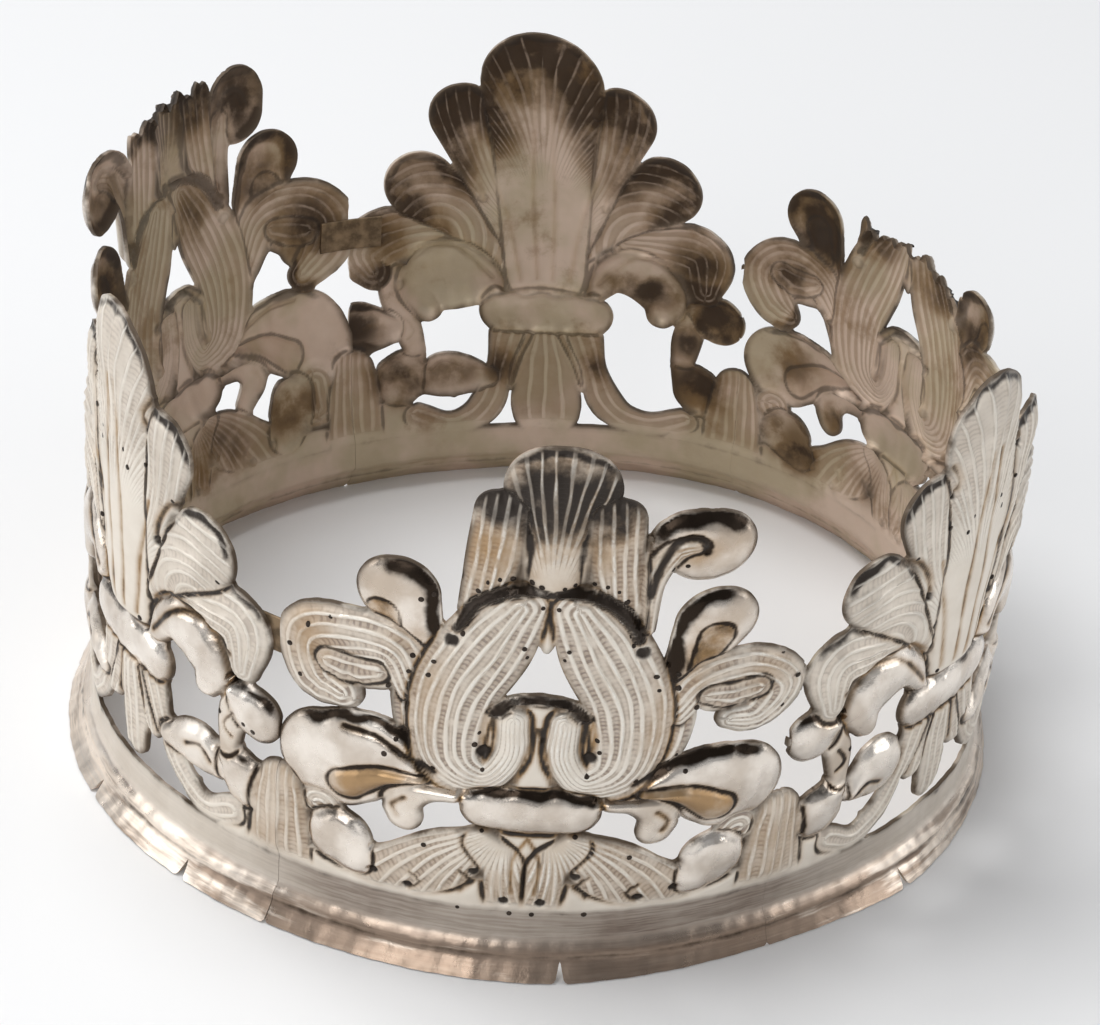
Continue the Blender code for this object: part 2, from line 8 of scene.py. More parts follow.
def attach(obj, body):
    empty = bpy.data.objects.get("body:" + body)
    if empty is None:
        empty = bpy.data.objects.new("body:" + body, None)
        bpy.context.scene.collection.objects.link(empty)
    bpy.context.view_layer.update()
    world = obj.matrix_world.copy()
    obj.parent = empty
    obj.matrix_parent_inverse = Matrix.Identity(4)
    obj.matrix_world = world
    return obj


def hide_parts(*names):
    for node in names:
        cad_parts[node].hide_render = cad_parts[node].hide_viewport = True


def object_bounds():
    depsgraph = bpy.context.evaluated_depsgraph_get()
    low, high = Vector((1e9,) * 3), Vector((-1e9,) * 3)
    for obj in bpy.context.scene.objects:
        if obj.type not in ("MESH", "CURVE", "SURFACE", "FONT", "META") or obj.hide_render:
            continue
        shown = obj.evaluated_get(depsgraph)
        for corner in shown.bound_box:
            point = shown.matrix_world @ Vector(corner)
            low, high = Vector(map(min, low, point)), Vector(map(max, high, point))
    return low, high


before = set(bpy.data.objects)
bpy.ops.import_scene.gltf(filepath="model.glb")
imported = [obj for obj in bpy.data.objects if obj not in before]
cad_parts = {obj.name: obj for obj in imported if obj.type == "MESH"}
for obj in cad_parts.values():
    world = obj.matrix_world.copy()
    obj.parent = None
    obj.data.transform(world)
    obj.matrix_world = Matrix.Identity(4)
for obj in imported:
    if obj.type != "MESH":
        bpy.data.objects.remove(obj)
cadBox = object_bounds()
print("frame loaded")


# ---- the crown as a whole
# Metres. Leaves are drawn on a grid of a hundredth of the wall radius: across from the
# middle of their palmette, up from the foot, and half the leaf's width.
crown = {
    "wallRadius": 0.064,
    "sheetThickness": 0.0006,
    "bandHeight": 0.0099,
    "lipHeight": 0.0026,
    "lipReach": 0.0034,
    "mouldingHeight": 0.0048,
    "mouldingReach": 0.0013,
    "slitWidth": 0.0012,
    "slitHeight": 0.0026,
    "smallestHole": 0.0018,
    "axis": (0.001427, 0.000815),  # where the ring's own axis stands
    "tiltHeight": 70,
    "gridTop": 139,
    # turns round the crown, cosine share and sine share of the wall radius
    "ringWaves": ((2, 0, -0.023), (3, -0.006, 0.009), (4, 0, -0.008), (5, 0.008, 0.004)),
    "leanWaves": ((0, 0.04, 0), (1, 0.016, -0.023), (2, 0, 0.06), (3, 0.015, -0.032), (4, -0.015, 0.014)),
    # middle and half width in degrees, starting height, outward lean
    "bends": ((259, 17, 0.034, 0.1),),
    "slitAngles": (-62, -43, 5, 53),
    "bayDips": ((-43, 5, 0.0003), (5, 53, 0.0012), (53, 100, 0.0013)),
}
wallRadius = crown["wallRadius"]
unit = wallRadius / 100


def foldTurn(degrees):
    # the same turn between -180 and 180 degrees
    return np.mod(degrees + 180, 360) - 180


def bell(value, middle, width):
    return np.exp(-((value - middle) / width) ** 2)


def smoothStep(value, low, high):
    share = np.clip((value - low) / (high - low), 0, 1)
    return share * share * (3 - 2 * share)


def waveSum(shares, angle):
    return sum(cosine * np.cos(turns * angle) + sine * np.sin(turns * angle)
               for turns, cosine, sine in shares)


def wallPlace(angle, height):
    # distance of the middle of the sheet from the axis
    ring = 1 + waveSum(crown["ringWaves"], angle)
    lean = waveSum(crown["leanWaves"], angle)
    aboveFoot = np.maximum(height - crown["mouldingHeight"], 0)
    shoulder = 0.5 * (crown["lipHeight"] + crown["mouldingHeight"])
    reach = np.interp(height, (0, crown["lipHeight"], shoulder, crown["mouldingHeight"]),
                      (crown["lipReach"], crown["mouldingReach"], crown["mouldingReach"], 0))
    for middle, halfWidth, bottom, outward in crown["bends"]:
        turn = foldTurn(np.degrees(angle) - middle)
        bulge = np.cos(0.5 * math.pi * np.clip(turn / halfWidth, -1, 1)) ** 2
        reach = reach + outward * bulge * np.maximum(height - bottom, 0)
    dip = np.zeros_like(angle)
    for start, end, depth in crown["bayDips"]:
        share = (np.degrees(angle) - start) / (end - start)
        dip = np.where((share > 0) & (share < 1), depth * np.sin(math.pi * share), dip)
    lipShare = np.clip(1 - height / crown["lipHeight"], 0, 1)
    return wallRadius * ring + aboveFoot * lean + reach - lipShare * dip


def surfacePoint(angle, height, outward):
    radius = wallPlace(angle, height) + outward
    return np.stack((radius * np.sin(angle) + crown["axis"][0],
                     -radius * np.cos(angle) + crown["axis"][1], height), -1)


# ---- the low palmette, right half, lowest leaf first
# spine: across, up, half width. flutes: how many side by side. fan: its foot, pitch and swirl.
# rings: middle and pitch. flare: foot, length, power and pitch.
lowPalmette = {
    "dart": dict(spine=((0, 50, 4), (0, 68, 3.5)), flat=True),
    "apron": dict(spine=((0, 37, 6), (0, 18, 6)), flat=True),
    "ground": dict(spine=((0, 19, 5), (44, 17.5, 4)), flat=True),
    "hookGround": dict(spine=((12, 52, 4), (10, 66, 3.6)), flat=True),
    "fanGround": dict(spine=((0, 84.5, 0.8), (0, 92, 4), (0, 104, 6), (0, 116, 7)), flat=True),
    "stem": dict(spine=((21, 51, 3), (25.5, 60, 3), (26, 71, 4)), flat=True, flutes=3),
    "spiralGround": dict(spine=((30, 72.5, 4.3), (36, 71, 4.5)), flat=True),
    "wing": dict(spine=((15, 47, 1.5), (25, 49.5, 5), (34, 48, 9.5), (39.5, 46, 11)), shine=1, rimDark=1,
                 rimWide=1.5, rimFrom=(-0.5, 0.85)),
    "wingBoss": dict(spine=((20, 48.3, 0.8), (29, 46.8, 2.6), (36, 42.2, 3.9)), rise=0.0009, toning=0.85,
                     dusk=0.12, shine=0.5),
    "smallScroll": dict(spine=((12, 44, 1.5), (20, 43.5, 2.2), (25, 40.5, 4.2), (24.5, 36.5, 3.8)),
                        shine=0.7, toning=0.15),
    "circleLobe": dict(spine=((17, 90, 2.3), (17.3, 103, 3), (21.5, 113, 5), (27.3, 110.2, 8.5)), shine=1,
                       bold=True, rimDark=1, rimWide=2, toning=0.3, rimFrom=(-0.2, 1), tipReach=5),
    "circleStem": dict(spine=((17, 91, 2.3), (17.4, 103, 2.7), (20.6, 110.6, 2.7), (24.6, 111.6, 1.7)),
                       rise=0.0004, flutes=4, toning=0.2),
    "petal": dict(spine=((25, 71, 3), (27.5, 82, 5.5), (30.8, 91, 8)), shine=1, rimDark=1, rimWide=1.9,
                  toning=0.2, rimFrom=(-0.7, 0.7), tipReach=5),
    "petalHollow": dict(spine=((28.4, 80.5, 2.2), (30.6, 88, 3.4)), rise=-0.0005, toning=0.9, dusk=0.42,
                        shine=1),
    "spiral": dict(spine=((25, 68, 3.5), (30, 75, 5.5), (39, 76.5, 6.5), (46, 71, 6.3), (42, 64.5, 4.5),
                   (36.5, 65, 3)), flutes=6, rimDark=0.25, tipReach=5),
    "spiralEye": dict(spine=((31.5, 72.3, 2.6), (36, 71.3, 3.6), (40.5, 72.3, 3.2)), rise=0.0004, flutes=3,
                      toning=0.1),
    "topFan": dict(spine=((0, 99, 5), (0, 112, 4.5), (0.8, 124, 9.6)), fan=(0, 96, 0.08, 0), rimDark=0.9,
                   tipReach=9, toning=0.55),
    "sideFan": dict(spine=((13, 92, 4), (11, 106, 5.2), (10.3, 117, 5)), flutes=5, open=True, rimDark=0.7,
                    toning=0.25, tipReach=9),
    "tulip": dict(spine=((5.5, 95, 5.5), (11, 84, 8.8), (16.5, 70, 8.3), (16.5, 55, 6.8), (9.5, 50.5, 4),
                  (4.9, 57, 3.7), (4.8, 66.5, 3.4)), flutes=8, outlined=0.9),
    # the rolled rims are coloured near black: tarnish and painted shade of the roll
    "tulipRim": dict(spine=((1.2, 99.2, 0.9), (7, 98.8, 1.2), (13.2, 94.6, 1.3), (16.6, 88, 1)),
                     rise=0.0007, dusk=0.9, shine=0.5),
    "rolledRim": dict(spine=((0, 71.9, 1.3), (5, 71, 1.3), (8.5, 67.5, 1.3)), rise=0.0008, dusk=0.8,
                      shine=0.7),
    "outerFan": dict(spine=((10, 32, 4.5), (16, 27, 7.5), (24, 22.5, 6.5), (33, 21, 3.8)),
                     fan=(3, 38, 0.1, -1.2), outlined=0.4, ownSide=True, toning=0.25),
    "innerFan": dict(spine=((9, 33.5, 3.5), (4.8, 28, 4.5), (3.8, 20, 4), (4, 15, 3)),
                     fan=(3, 38, 0.1, -1.2), outlined=0.4, ownSide=True, toning=0.25),
    "ballGround": dict(spine=((42, 33.5, 5), (42.2, 33.5, 5)), flat=True, flutes=5),
    "ball": dict(spine=((34.5, 22, 4.5), (38, 26.5, 7.3)), shine=1, bold=True, rimDark=0.5),
    "collar": dict(spine=((0, 42.5, 6.1), (8, 42.5, 5.8)), shine=1, bold=True, outlined=1, rimDark=0.9,
                   rimWide=1.3),
}

# ---- the tall palmette, right half, lowest leaf first
tallPalmette = {
    "heart": dict(spine=((0, 42, 12), (0, 60, 13), (0, 80, 14)), flat=True),
    "skirt": dict(spine=((5, 42, 5), (8, 33, 5), (9, 29, 2.5)), flutes=4, open=True),
    "drop": dict(spine=((0, 40, 3.5), (0, 30, 5.5), (0, 22, 4.5)), flutes=4, open=True, outlined=0.5),
    "footGround": dict(spine=((31, 14, 3), (39, 19, 6), (46, 19, 6)), flat=True),
    "strand": dict(spine=((10, 42, 4.5), (12.5, 33, 3), (17.5, 24, 3.6), (26, 18.2, 3.2), (34, 21, 3.6)),
                   flutes=3),
    "volute": dict(spine=((15, 31, 3), (25, 32.8, 6.2), (33, 31, 3.5)), shine=0.8, bold=True, rimDark=0.3),
    "footBall": dict(spine=((34, 37, 3), (38.5, 30.5, 7)), shine=1, bold=True, rimDark=0.5),
    "tie": dict(spine=((37, 52, 3.5), (35, 45, 3.7), (34, 39, 3)), shine=0.6, toning=0.2),
    "sideBall": dict(spine=((38, 55, 3), (43, 53, 6.8)), shine=1, bold=True, rimDark=0.8, tipReach=6),
    "curlLeaf": dict(spine=((20, 70, 4), (30, 71, 6.5), (39, 70, 8), (39.5, 60, 4)), flutes=6, rimDark=0.7,
                     tipReach=11),
    "thirdLobe": dict(spine=((8, 66, 5), (19, 76, 7), (29.5, 84, 9)), rings=(26, 68, 2.8), rimDark=0.95,
                      rimFrom=(0.3, 1), tipReach=16),
    "secondLobe": dict(spine=((6, 70, 6), (12, 88, 8), (18, 102, 9)), fan=(4, 68, 0.07, 0.8), rimDark=0.95,
                       rimFrom=(0.4, 1), tipReach=20),
    "topLobe": dict(spine=((0, 60, 10), (0, 90, 12), (0.5, 109.5, 14.3)), flare=(46, 64, 3.0, 2.9),
                    rimDark=0.7, tipReach=26),
    "bean": dict(spine=((12.5, 55, 2.5), (17, 61, 5), (24, 61.5, 7), (29.5, 56, 6), (28.5, 51, 3.5)),
                 shine=1, bold=True, outlined=1, rimDark=0.2),
    "collar": dict(spine=((0, 48.5, 6), (11, 48.5, 5.8)), shine=1, bold=True, outlined=0.8, rimDark=0.6),
}

meetingLeaf = dict(spine=((0, 14, 8), (0, 27, 7), (0, 34, 5.5)), flutes=6, open=True, toning=0.4, fromLow=51)

# Leaves that have another shape on every palmette of a kind or on one alone: -1 is the left
# half, 1 the right one and 0 both.
changedSpines = {
    ("low", -1): {
        "spiral": ((24, 70, 4), (28, 79, 6), (37, 79.5, 7), (44.5, 76, 8), (43.5, 67.5, 7),
                   (38.5, 65, 4.7)),
        "wing": ((15, 47, 1.5), (24, 51, 6.5), (32, 50, 10.8), (40, 46.5, 12)),
        "stem": ((21, 51, 3), (24.3, 60, 3), (25, 71, 4)),
        "petal": ((23, 72, 4), (25, 82.5, 6), (28.3, 93.3, 8.2)),
    },
    ("lowRight", -1): {
        "petal": ((23, 72, 4), (24.8, 81, 6), (27.3, 90, 7.8)),
    },
    ("lowRight", 1): {
        "spiral": ((25, 68, 3.5), (30, 75, 5.5), (39, 76.5, 6.5), (45, 71, 6.5), (42.5, 64, 6.5),
                   (39, 61.5, 4)),
        "spiralGround": ((30, 71, 4.5), (36, 70.5, 4.8)),
        "stem": ((20, 51, 3), (22.5, 59, 3), (24, 69, 5)),
    },
    ("lowLeft", -1): {
        "spiral": ((24, 70, 4), (29, 80, 6), (39, 81, 7.3), (45.5, 76, 7.3), (45, 69, 6.5),
                   (40, 63.5, 4.5)),
        "spiralGround": ((31, 77, 4.5), (37, 73, 4.8), (38.5, 70, 4.5)),
        "spiralEye": ((32.5, 76.5, 2.6), (37, 75, 3.6), (41, 74, 3.2)),
        "stem": ((19, 51, 3), (21, 60, 3), (22.5, 69, 4)),
        "wing": ((15, 47, 1.5), (24, 51, 6.5), (33, 50, 10.3), (38.5, 48, 11.3), (44, 43, 8.5)),
        "smallScroll": ((12, 44, 1.5), (20, 43.5, 2.2), (24.5, 40.5, 4), (22.8, 36.5, 3.2),
                        (20, 32.5, 2.6)),
        "ball": ((34, 22, 5), (35, 27, 6.5), (35.5, 32.3, 6)),
        "ballGround": ((42, 33.5, 5), (43, 27, 5.5)),
        "petal": ((23, 72, 4), (26, 83, 6), (30.5, 94.5, 8)),
        "circleStem": ((17, 91, 2.3), (17, 101, 2.7), (19, 108, 2.4)),
        "circleLobe": ((17, 90, 2.3), (16.5, 103, 3), (19, 111, 5), (22.8, 114, 6.8), (23, 108.5, 6.8)),
    },
    ("tallBack", 0): {
        "drop": ((0, 40, 3.5), (0, 30, 7.5), (0, 22, 9), (0, 16, 6.8)),
    },
    ("tallBack", -1): {
        "strand": ((10, 42, 4.5), (12, 33, 3.2), (14.5, 24.3, 4.5), (19, 19.2, 4.2), (26, 17.8, 3.8),
                   (34, 21, 3.6)),
        "thirdLobe": ((8, 68, 5), (19, 79, 7), (30, 87, 9)),
        "secondLobe": ((6, 70, 6), (12, 89, 8), (18.5, 103.5, 9)),
    },
    ("tallBack", 1): {
        "curlLeaf": ((20, 70, 4), (30, 71, 6.5), (39.5, 69, 7.5), (44.5, 65, 7), (43, 60, 4.5)),
        "sideBall": ((41, 45, 4.7), (48, 45.5, 7.2)),
        "tie": ((38.5, 60, 4), (38, 52, 3.7), (35.5, 45, 3.7), (34, 39, 3)),
        "thirdLobe": ((8, 64, 5), (19, 74, 7), (29.5, 82, 9)),
        "secondLobe": ((6, 70, 6), (12, 86, 8), (18, 100, 9)),
        "strand": ((10, 42, 4.5), (12, 33, 3.2), (14.5, 24, 4.5), (19, 18.5, 4.2), (26, 16.6, 3.8),
                   (34, 20, 3.6)),
        "volute": ((15, 30, 3), (25, 31, 6.2), (33, 30, 3.5)),
        "bean": ((12.5, 54, 2.5), (17, 57, 6.5), (24, 58.5, 9.5), (30, 56, 7.5), (30, 50, 4)),
    },
    ("tallRight", -1): {
        "volute": ((30, 33, 3), (22, 36.5, 8)),
        "thirdLobe": ((8, 66, 5), (19, 77, 7), (31, 86.5, 9)),
        "topLobe": ((0, 60, 10), (0, 92, 12), (3.5, 116.5, 13)),
    },
    ("tallRight", 1): {
        "topLobe": ((0, 60, 10), (0, 92, 12), (-1.5, 113, 11.5)),
    },
    ("tallLeft", 0): {
        "topLobe": ((0, 60, 10), (0, 90, 12), (0.5, 112, 14.3)),
    },
    ("tallLeft", 1): {
        "sideBall": ((37, 53, 3), (42, 49.2, 6.8)),
    },
}
lostLeaves = {
    ("lowFront", -1): ("circleLobe", "circleStem"),
    ("lowRight", -1): ("circleLobe", "circleStem", "sideFan", "topFan"),
    ("lowRight", 1): ("circleLobe", "circleStem", "topFan"),
    ("tallBack", -1): ("volute",),
}
# torn line: places across and heights, then the jags' depth and turn
tornTops = {
    "lowRight": ((-21, -14, -5, 6, 10, 12.5, 16, 21), (93, 92, 95, 95.5, 93.5, 95.5, 96, 95)),
    "lowLeft": ((-21, 21), (119.5, 119.5)),
}
tornJags = ((1.1, 0.9), (0.7, 2.1))

# Chased marks of one half, mirrored to the other: pits are across, up, radius.
# Lines are points, half width, depth in metres, darkness.
lowMarks = {
    "pits": ((10, 57, 1.6), (17.5, 84.5, 1.7), (10, 25, 1.2), (23, 18.5, 1.2), (30, 20.5, 1.1),
             (3.6, 18, 1.1)),
    # across, up, spread across and up, kind, amount
    "smears": ((-10, 119, 7, 6, "dusk", 1.0), (-5, 123, 7, 9, "dusk", 0.85), (0, 112, 4, 11, "dusk", 0.5),
               (6, 128, 6, 4, "dusk", 0.7), (8, 114, 5, 7, "dusk", 0.4), (2, 121, 15, 12, "dusk", 0.95),
               (4, 116, 11, 13, "toning", 0.95), (-12, 108, 7, 9, "toning", 0.9),
               (-21, 70, 4, 12, "toning", 0.5), (22, 66, 3, 12, "toning", 0.5),
               (-46, 76, 6, 9, "toning", 0.75), (-47, 70, 4, 7, "dusk", 0.42),
               (28, 83, 6, 9, "toning", 0.7), (24, 110, 6, 5, "toning", 0.65),
               (-25, 84, 5, 6, "toning", 0.4), (42, 76, 6, 5, "toning", 0.4)),
    "lines": ((((17, 100), (18.3, 108), (21, 113.4), (24.5, 113.5), (26, 110)), 0.9, 0.0004, 1),
              (((0, 35.5), (2.6, 29), (2.2, 20.5)), 0.5, 0.0002, 0.4), (((0.2, 64.5), (2.2, 56),
              (3.4, 50)), 0.6, 0.0002, 0.5), (((19, 50), (25.5, 54), (31, 56.6),
              (37, 56.8)), 0.9, 0.0003, 0.9), (((9.6, 57.5), (10.5, 62), (9.4, 67),
              (5.5, 70.3)), 0.8, 0.0002, 0.35), (((24.5, 42), (26.8, 39.5),
              (25.8, 36.8)), 0.8, 0.0003, 0.6), (((12.5, 19.5), (10.6, 22.5),
              (12.6, 25)), 0.7, 0.0003, 0.7), (((22.5, 17.8), (20.3, 20.2),
              (22.4, 22.6)), 0.7, 0.0003, 0.7)),
    "dots": ((2, 101), (3.8, 101.6), (5.4, 101), (7.2, 101.6), (14.6, 89), (15.4, 86.8), (20.5, 106),
             (23, 106.6), (4, 85), (3.4, 82.4), (11, 62), (11.6, 59.2), (25.5, 53.6), (28.5, 53.2),
             (23.4, 93.5), (20.4, 78.5), (21.3, 74.8), (29, 69.5), (31.5, 68), (41, 83), (45.5, 79.5),
             (49.4, 73), (47, 66), (20, 30.5), (6.5, 35.8), (9, 36.2), (12.5, 14.8), (2.2, 14.6),
             (9.5, 101.3), (11.6, 100.2), (24.4, 79), (24.9, 75), (1.4, 95.5), (13.2, 97.8), (26.6, 57),
             (19.2, 51.2), (4.2, 48.2), (13, 36.6), (17, 35.8), (27, 31.5), (36.5, 61), (33.2, 61.5),
             (9.8, 53.2), (21.8, 98), (21.2, 94.8)),
}
tallMarks = {
    "pits": ((15, 79, 1.3), (13, 104, 1.2), (36.5, 56, 1.4), (24, 24, 1)),
    "lines": ((((1.9, 57), (2.6, 80), (1.6, 110)), 0.55, 0.0002, 0.45), (((25.5, 92.5), (20, 90), (16, 84),
              (15, 79)), 0.8, 0.0003, 0.6), (((14.5, 112), (12, 108), (12.8, 104)), 0.8, 0.0003, 0.6),
              (((6.2, 57), (9, 74), (13.5, 88)), 0.6, 0.0002, 0.4), (((13, 57), (22, 66), (31, 66),
              (36, 62)), 0.8, 0.0003, 0.7), (((22, 33), (26.5, 34.5), (29.5, 32)), 0.8, 0.0003, 0.8),
              (((36, 47), (33.5, 43.5), (35.5, 41)), 0.6, 0.0002, 0.7)),
    "dots": ((7, 56), (9.5, 56.3), (10.5, 67), (11.5, 70), (5, 96), (6.4, 92.5), (21, 91.5), (12.5, 96),
             (34, 78.5), (31, 48.8), (32.4, 46), (40, 46.6), (42.5, 45.8)),
}

# dark stains on the inside alone: across, up, spread across and up, amount
innerStains = {
    "lowLeft": ((-24, 111, 8, 9, 0.8), (24, 110, 7, 9, 0.55), (-10, 116, 6, 8, 0.8), (-29, 90, 6, 7, 0.6),
                (-41, 76, 9, 9, 0.65), (28, 88, 7, 9, 0.8), (-36, 28, 7, 7, 0.5), (-12, 25, 12, 8, 0.5),
                (12, 25, 12, 8, 0.4), (-8, 88, 6, 9, 0.5), (22, 38, 6, 6, 0.5)),
    "lowRight": ((29, 89, 8, 11, 1.0), (39, 74, 10, 8, 0.7), (12, 92, 6, 5, 0.65), (-10, 90, 8, 6, 0.65),
                 (-27, 86, 6, 9, 0.8), (36, 25, 7, 7, 1.0), (38, 46, 8, 8, 0.35), (22, 38, 5, 5, 0.6),
                 (-40, 74, 8, 8, 0.6), (10, 26, 8, 7, 0.4)),
    "tallBack": ((-24, 57, 8, 5, 0.85), (-38, 67, 7, 7, 0.7), (-43, 53, 7, 6, 0.9), (-35, 45, 4, 6, 0.7),
                 (-38, 32, 8, 6, 0.75), (48, 45, 7, 6, 0.7), (41, 68, 7, 7, 0.55), (38, 31, 8, 7, 0.75),
                 (25, 31, 8, 4, 0.5), (12, 33, 4, 6, 0.6), (-12, 33, 4, 6, 0.6), (20, 88, 5, 9, 0.5),
                 (-20, 88, 5, 9, 0.6)),
}

# leaves and marks, angle, width of left and right half, tilt, height
palmettes = {
    "lowFront": (lowPalmette, lowMarks, 0.6, 1.035, 1.045, 0.019, 0.97),
    "tallRight": (tallPalmette, tallMarks, 57.7, 0.955, 1.14, -0.034, 0.982),
    "lowRight": (lowPalmette, lowMarks, 126.0, 1.05, 0.976, 0.048, 0.97),
    "tallBack": (tallPalmette, tallMarks, 183.7, 1.025, 0.98, 0.066, 0.982),
    "lowLeft": (lowPalmette, lowMarks, 240.1, 1.0, 1.05, -0.038, 0.97),
    "tallLeft": (tallPalmette, tallMarks, 302.5, 1.08, 0.957, -0.052, 0.982),
}
sheets = {
    "sheet_front": ("lowFront", "tallRight", -30.3, 92.5),
    "sheet_back": ("lowRight", "tallBack", 92.5, 210.7),
    "sheet_left": ("lowLeft", "tallLeft", 210.7, 329.7),
}

# how the chasing is cut, in grid units unless metres are said
chasing = {
    "smoothRise": 0.16,  # rise of a smooth leaf over its half width
    "fluteRise": 0.14,  # the same for a fluted one
    "boldFactor": 1.4,
    "flatRise": 0.3,
    "edgeWidth": 1.25,
    "steepest": 0.9,  # how fast a leaf may widen along its spine
    "farAway": 99.0,
    "fluteDepth": 0.00034,  # metres
    "waver": ((0.09, 0.2, 1.7), (0.03, 0.6, -2.3)),  # amount, turn along a flute, turn over flutes
    "grooveDepth": 0.00035,  # metres
    "grooveWidth": 0.6,
    "rimGroove": 0.0003,  # metres
    "pitDepth": 0.0006,  # metres
    "dentDepth": 0.00009,  # metres
    "scribed": (14.6, 0.35, 0.00012, 0.45),  # height, width, depth in metres, darkness
    # painted shade: dark lines along the folds at the lip, the moulding and the band's top edge
    "creases": (("lipHeight", 0.6), ("mouldingHeight", 0.35), ("bandHeight", 0.2)),
    "creaseWidth": 0.0004,  # metres
    "calmFrom": (24, 34),  # degrees from the low palmette's middle
    # where the band is browner round the crown: tarnish toward the front; the paler band toward the sides is
    # painted highlight
    "brownAndSheen": ((1, 18, 34), (0.5, -22, 14)),  # amount, middle and spread in degrees
    "softPress": 0.0003,  # metres
    "seam": 0.00004,  # metres left open between sheets
    "cell": 0.00034,  # metres between the mesh's points
    "bandRow": 0.0008,  # metres between its rows on the band
}


def spineNodes(points, spacing=1.5):
    # a smooth line through the spine's points, a cubic between each pair
    nodes = np.array(points, float)
    padded = np.vstack((2 * nodes[0] - nodes[1], nodes, 2 * nodes[-1] - nodes[-2]))
    line = []
    for before, start, end, after in zip(padded, padded[1:], padded[2:], padded[3:]):
        steps = max(2, int(np.hypot(*(end - start)[:2]) / spacing))
        share = (np.arange(steps) / steps)[:, None]
        line.append(0.5 * (2 * start + (end - before) * share
                           + (2 * before - 5 * start + 4 * end - after) * share ** 2
                           + (3 * start - before - 3 * end + after) * share ** 3))
    line.append(nodes[-1:])
    return np.vstack(line)


def leafPlace(across, up, nodes):
    # For each point: how far inside the leaf, signed share of the way to the edge, way along
    # the spine, direction out from the spine, the leaf's half width there, and the share
    # again, measured square to the spine so that flutes run straight out at the leaf's end.
    place = np.zeros((7,) + across.shape)
    place[0] = -chasing["farAway"]
    place[1] = place[5] = place[6] = 1
    low = (nodes[:, :2] - nodes[:, 2:]).min(0) - 2
    high = (nodes[:, :2] + nodes[:, 2:]).max(0) + 2
    near = (across > low[0]) & (across < high[0]) & (up > low[1]) & (up < high[1])
    if not near.any():
        return place
    x, y = across[near], up[near]
    best = np.zeros((7, len(x)))
    best[0] = -chasing["farAway"]
    gone = 0
    for start, end in zip(nodes[:-1], nodes[1:]):
        run = end - start
        length = max(math.hypot(run[0], run[1]), 1e-6)
        alongX, alongY = run[0] / length, run[1] / length
        square = alongX * (y - start[1]) - alongY * (x - start[0])
        foot = (x - start[0]) * alongX + (y - start[1]) * alongY
        widening = max(min(run[2] / length, chasing["steepest"]), -chasing["steepest"])
        foot = foot + np.abs(square) * widening / math.sqrt(1 - widening ** 2)
        foot = np.clip(foot, 0, length)
        dx = x - start[0] - foot * alongX
        dy = y - start[1] - foot * alongY
        away = np.hypot(dx, dy)
        width = start[2] + foot / length * run[2]
        turned = np.where(square < 0, -1, 1)
        apart = np.maximum(away, 1e-6)
        found = np.stack((width - away, turned * away / width, gone + foot, dx / apart, dy / apart,
                          width, square / width))
        best = np.where(found[0] > best[0], found, best)
        gone += length
    place[:, near] = best
    return place


def palmetteLeaves(name):
    # name, side, look and spine of every leaf that the palmette still has
    kept = []
    kind = "low" if name.startswith("low") else "tall"
    for leaf, look in palmettes[name][0].items():
        for side in (-1, 1):
            if leaf in lostLeaves.get((name, side), ()):
                continue
            spine = look["spine"]
            for key in ((kind, side), (name, 0), (name, side)):
                spine = changedSpines.get(key, {}).get(leaf, spine)
            kept.append((leaf, side, look, spineNodes(spine)))
    return kept


def palmetteGrid(name, angle, height):
    middle, left, right, tilt, tall = palmettes[name][2:]
    up = height / (unit * tall)
    across = np.radians(np.degrees(angle) - middle) * 100 - tilt * (up - crown["tiltHeight"])
    return np.where(across < 0, across / left, across / right), up


def meetingAngle(sheet):
    low = sheets[sheet][0]
    return palmettes[low][2] + math.degrees(meetingLeaf["fromLow"] / 100) * palmettes[low][4]


def sheetLayers(sheet, angle, height):
    # every leaf on the sheet, lowest first, with where each point lies on it
    low, tall, start, end = sheets[sheet]
    layers = []
    for palmette in (tall, low):
        across, up = palmetteGrid(palmette, angle, height)
        torn = tornTops.get(palmette)
        if torn:
            tornHeight = np.interp(across, *torn)
            for jag, turn in tornJags:
                tornHeight = tornHeight + jag * np.sin(turn * across)
        halves = {}
        for leaf, side, look, nodes in palmetteLeaves(palmette):
            place = leafPlace(side * across, up, nodes)
            if look.get("ownSide"):
                place[0] = np.minimum(place[0], side * across)
            if torn:
                below = np.minimum(place[0], tornHeight - up)
                place[0] = np.where(np.abs(across) < torn[0][-1], below, place[0])
            if leaf in halves and nodes[0, 0] == 0:
                # a leaf on the middle line is one leaf, not two halves
                whole = halves[leaf]
                whole[1][:] = np.where(place[0] > whole[1][0], place, whole[1])
                continue
            length = np.hypot(*np.diff(nodes[:, :2], axis=0).T).sum()
            halves[leaf] = (look, place, side * across, up, nodes[:, 2].max(), length)
            layers.append(halves[leaf])
    for meeting in (start, meetingAngle(sheet), end):
        across = np.radians(np.degrees(angle) - meeting) * 100
        place = leafPlace(across, height / unit, spineNodes(meetingLeaf["spine"]))
        layers.append((meetingLeaf, place, across, height / unit, meetingLeaf["spine"][0][2], 20))
    return layers


def freeDepth(layers, height):
    # how far inside the leaves or the band each point lies
    depth = crown["bandHeight"] / unit - height / unit
    for layer in layers:
        depth = np.maximum(depth, layer[1][0])
    return depth


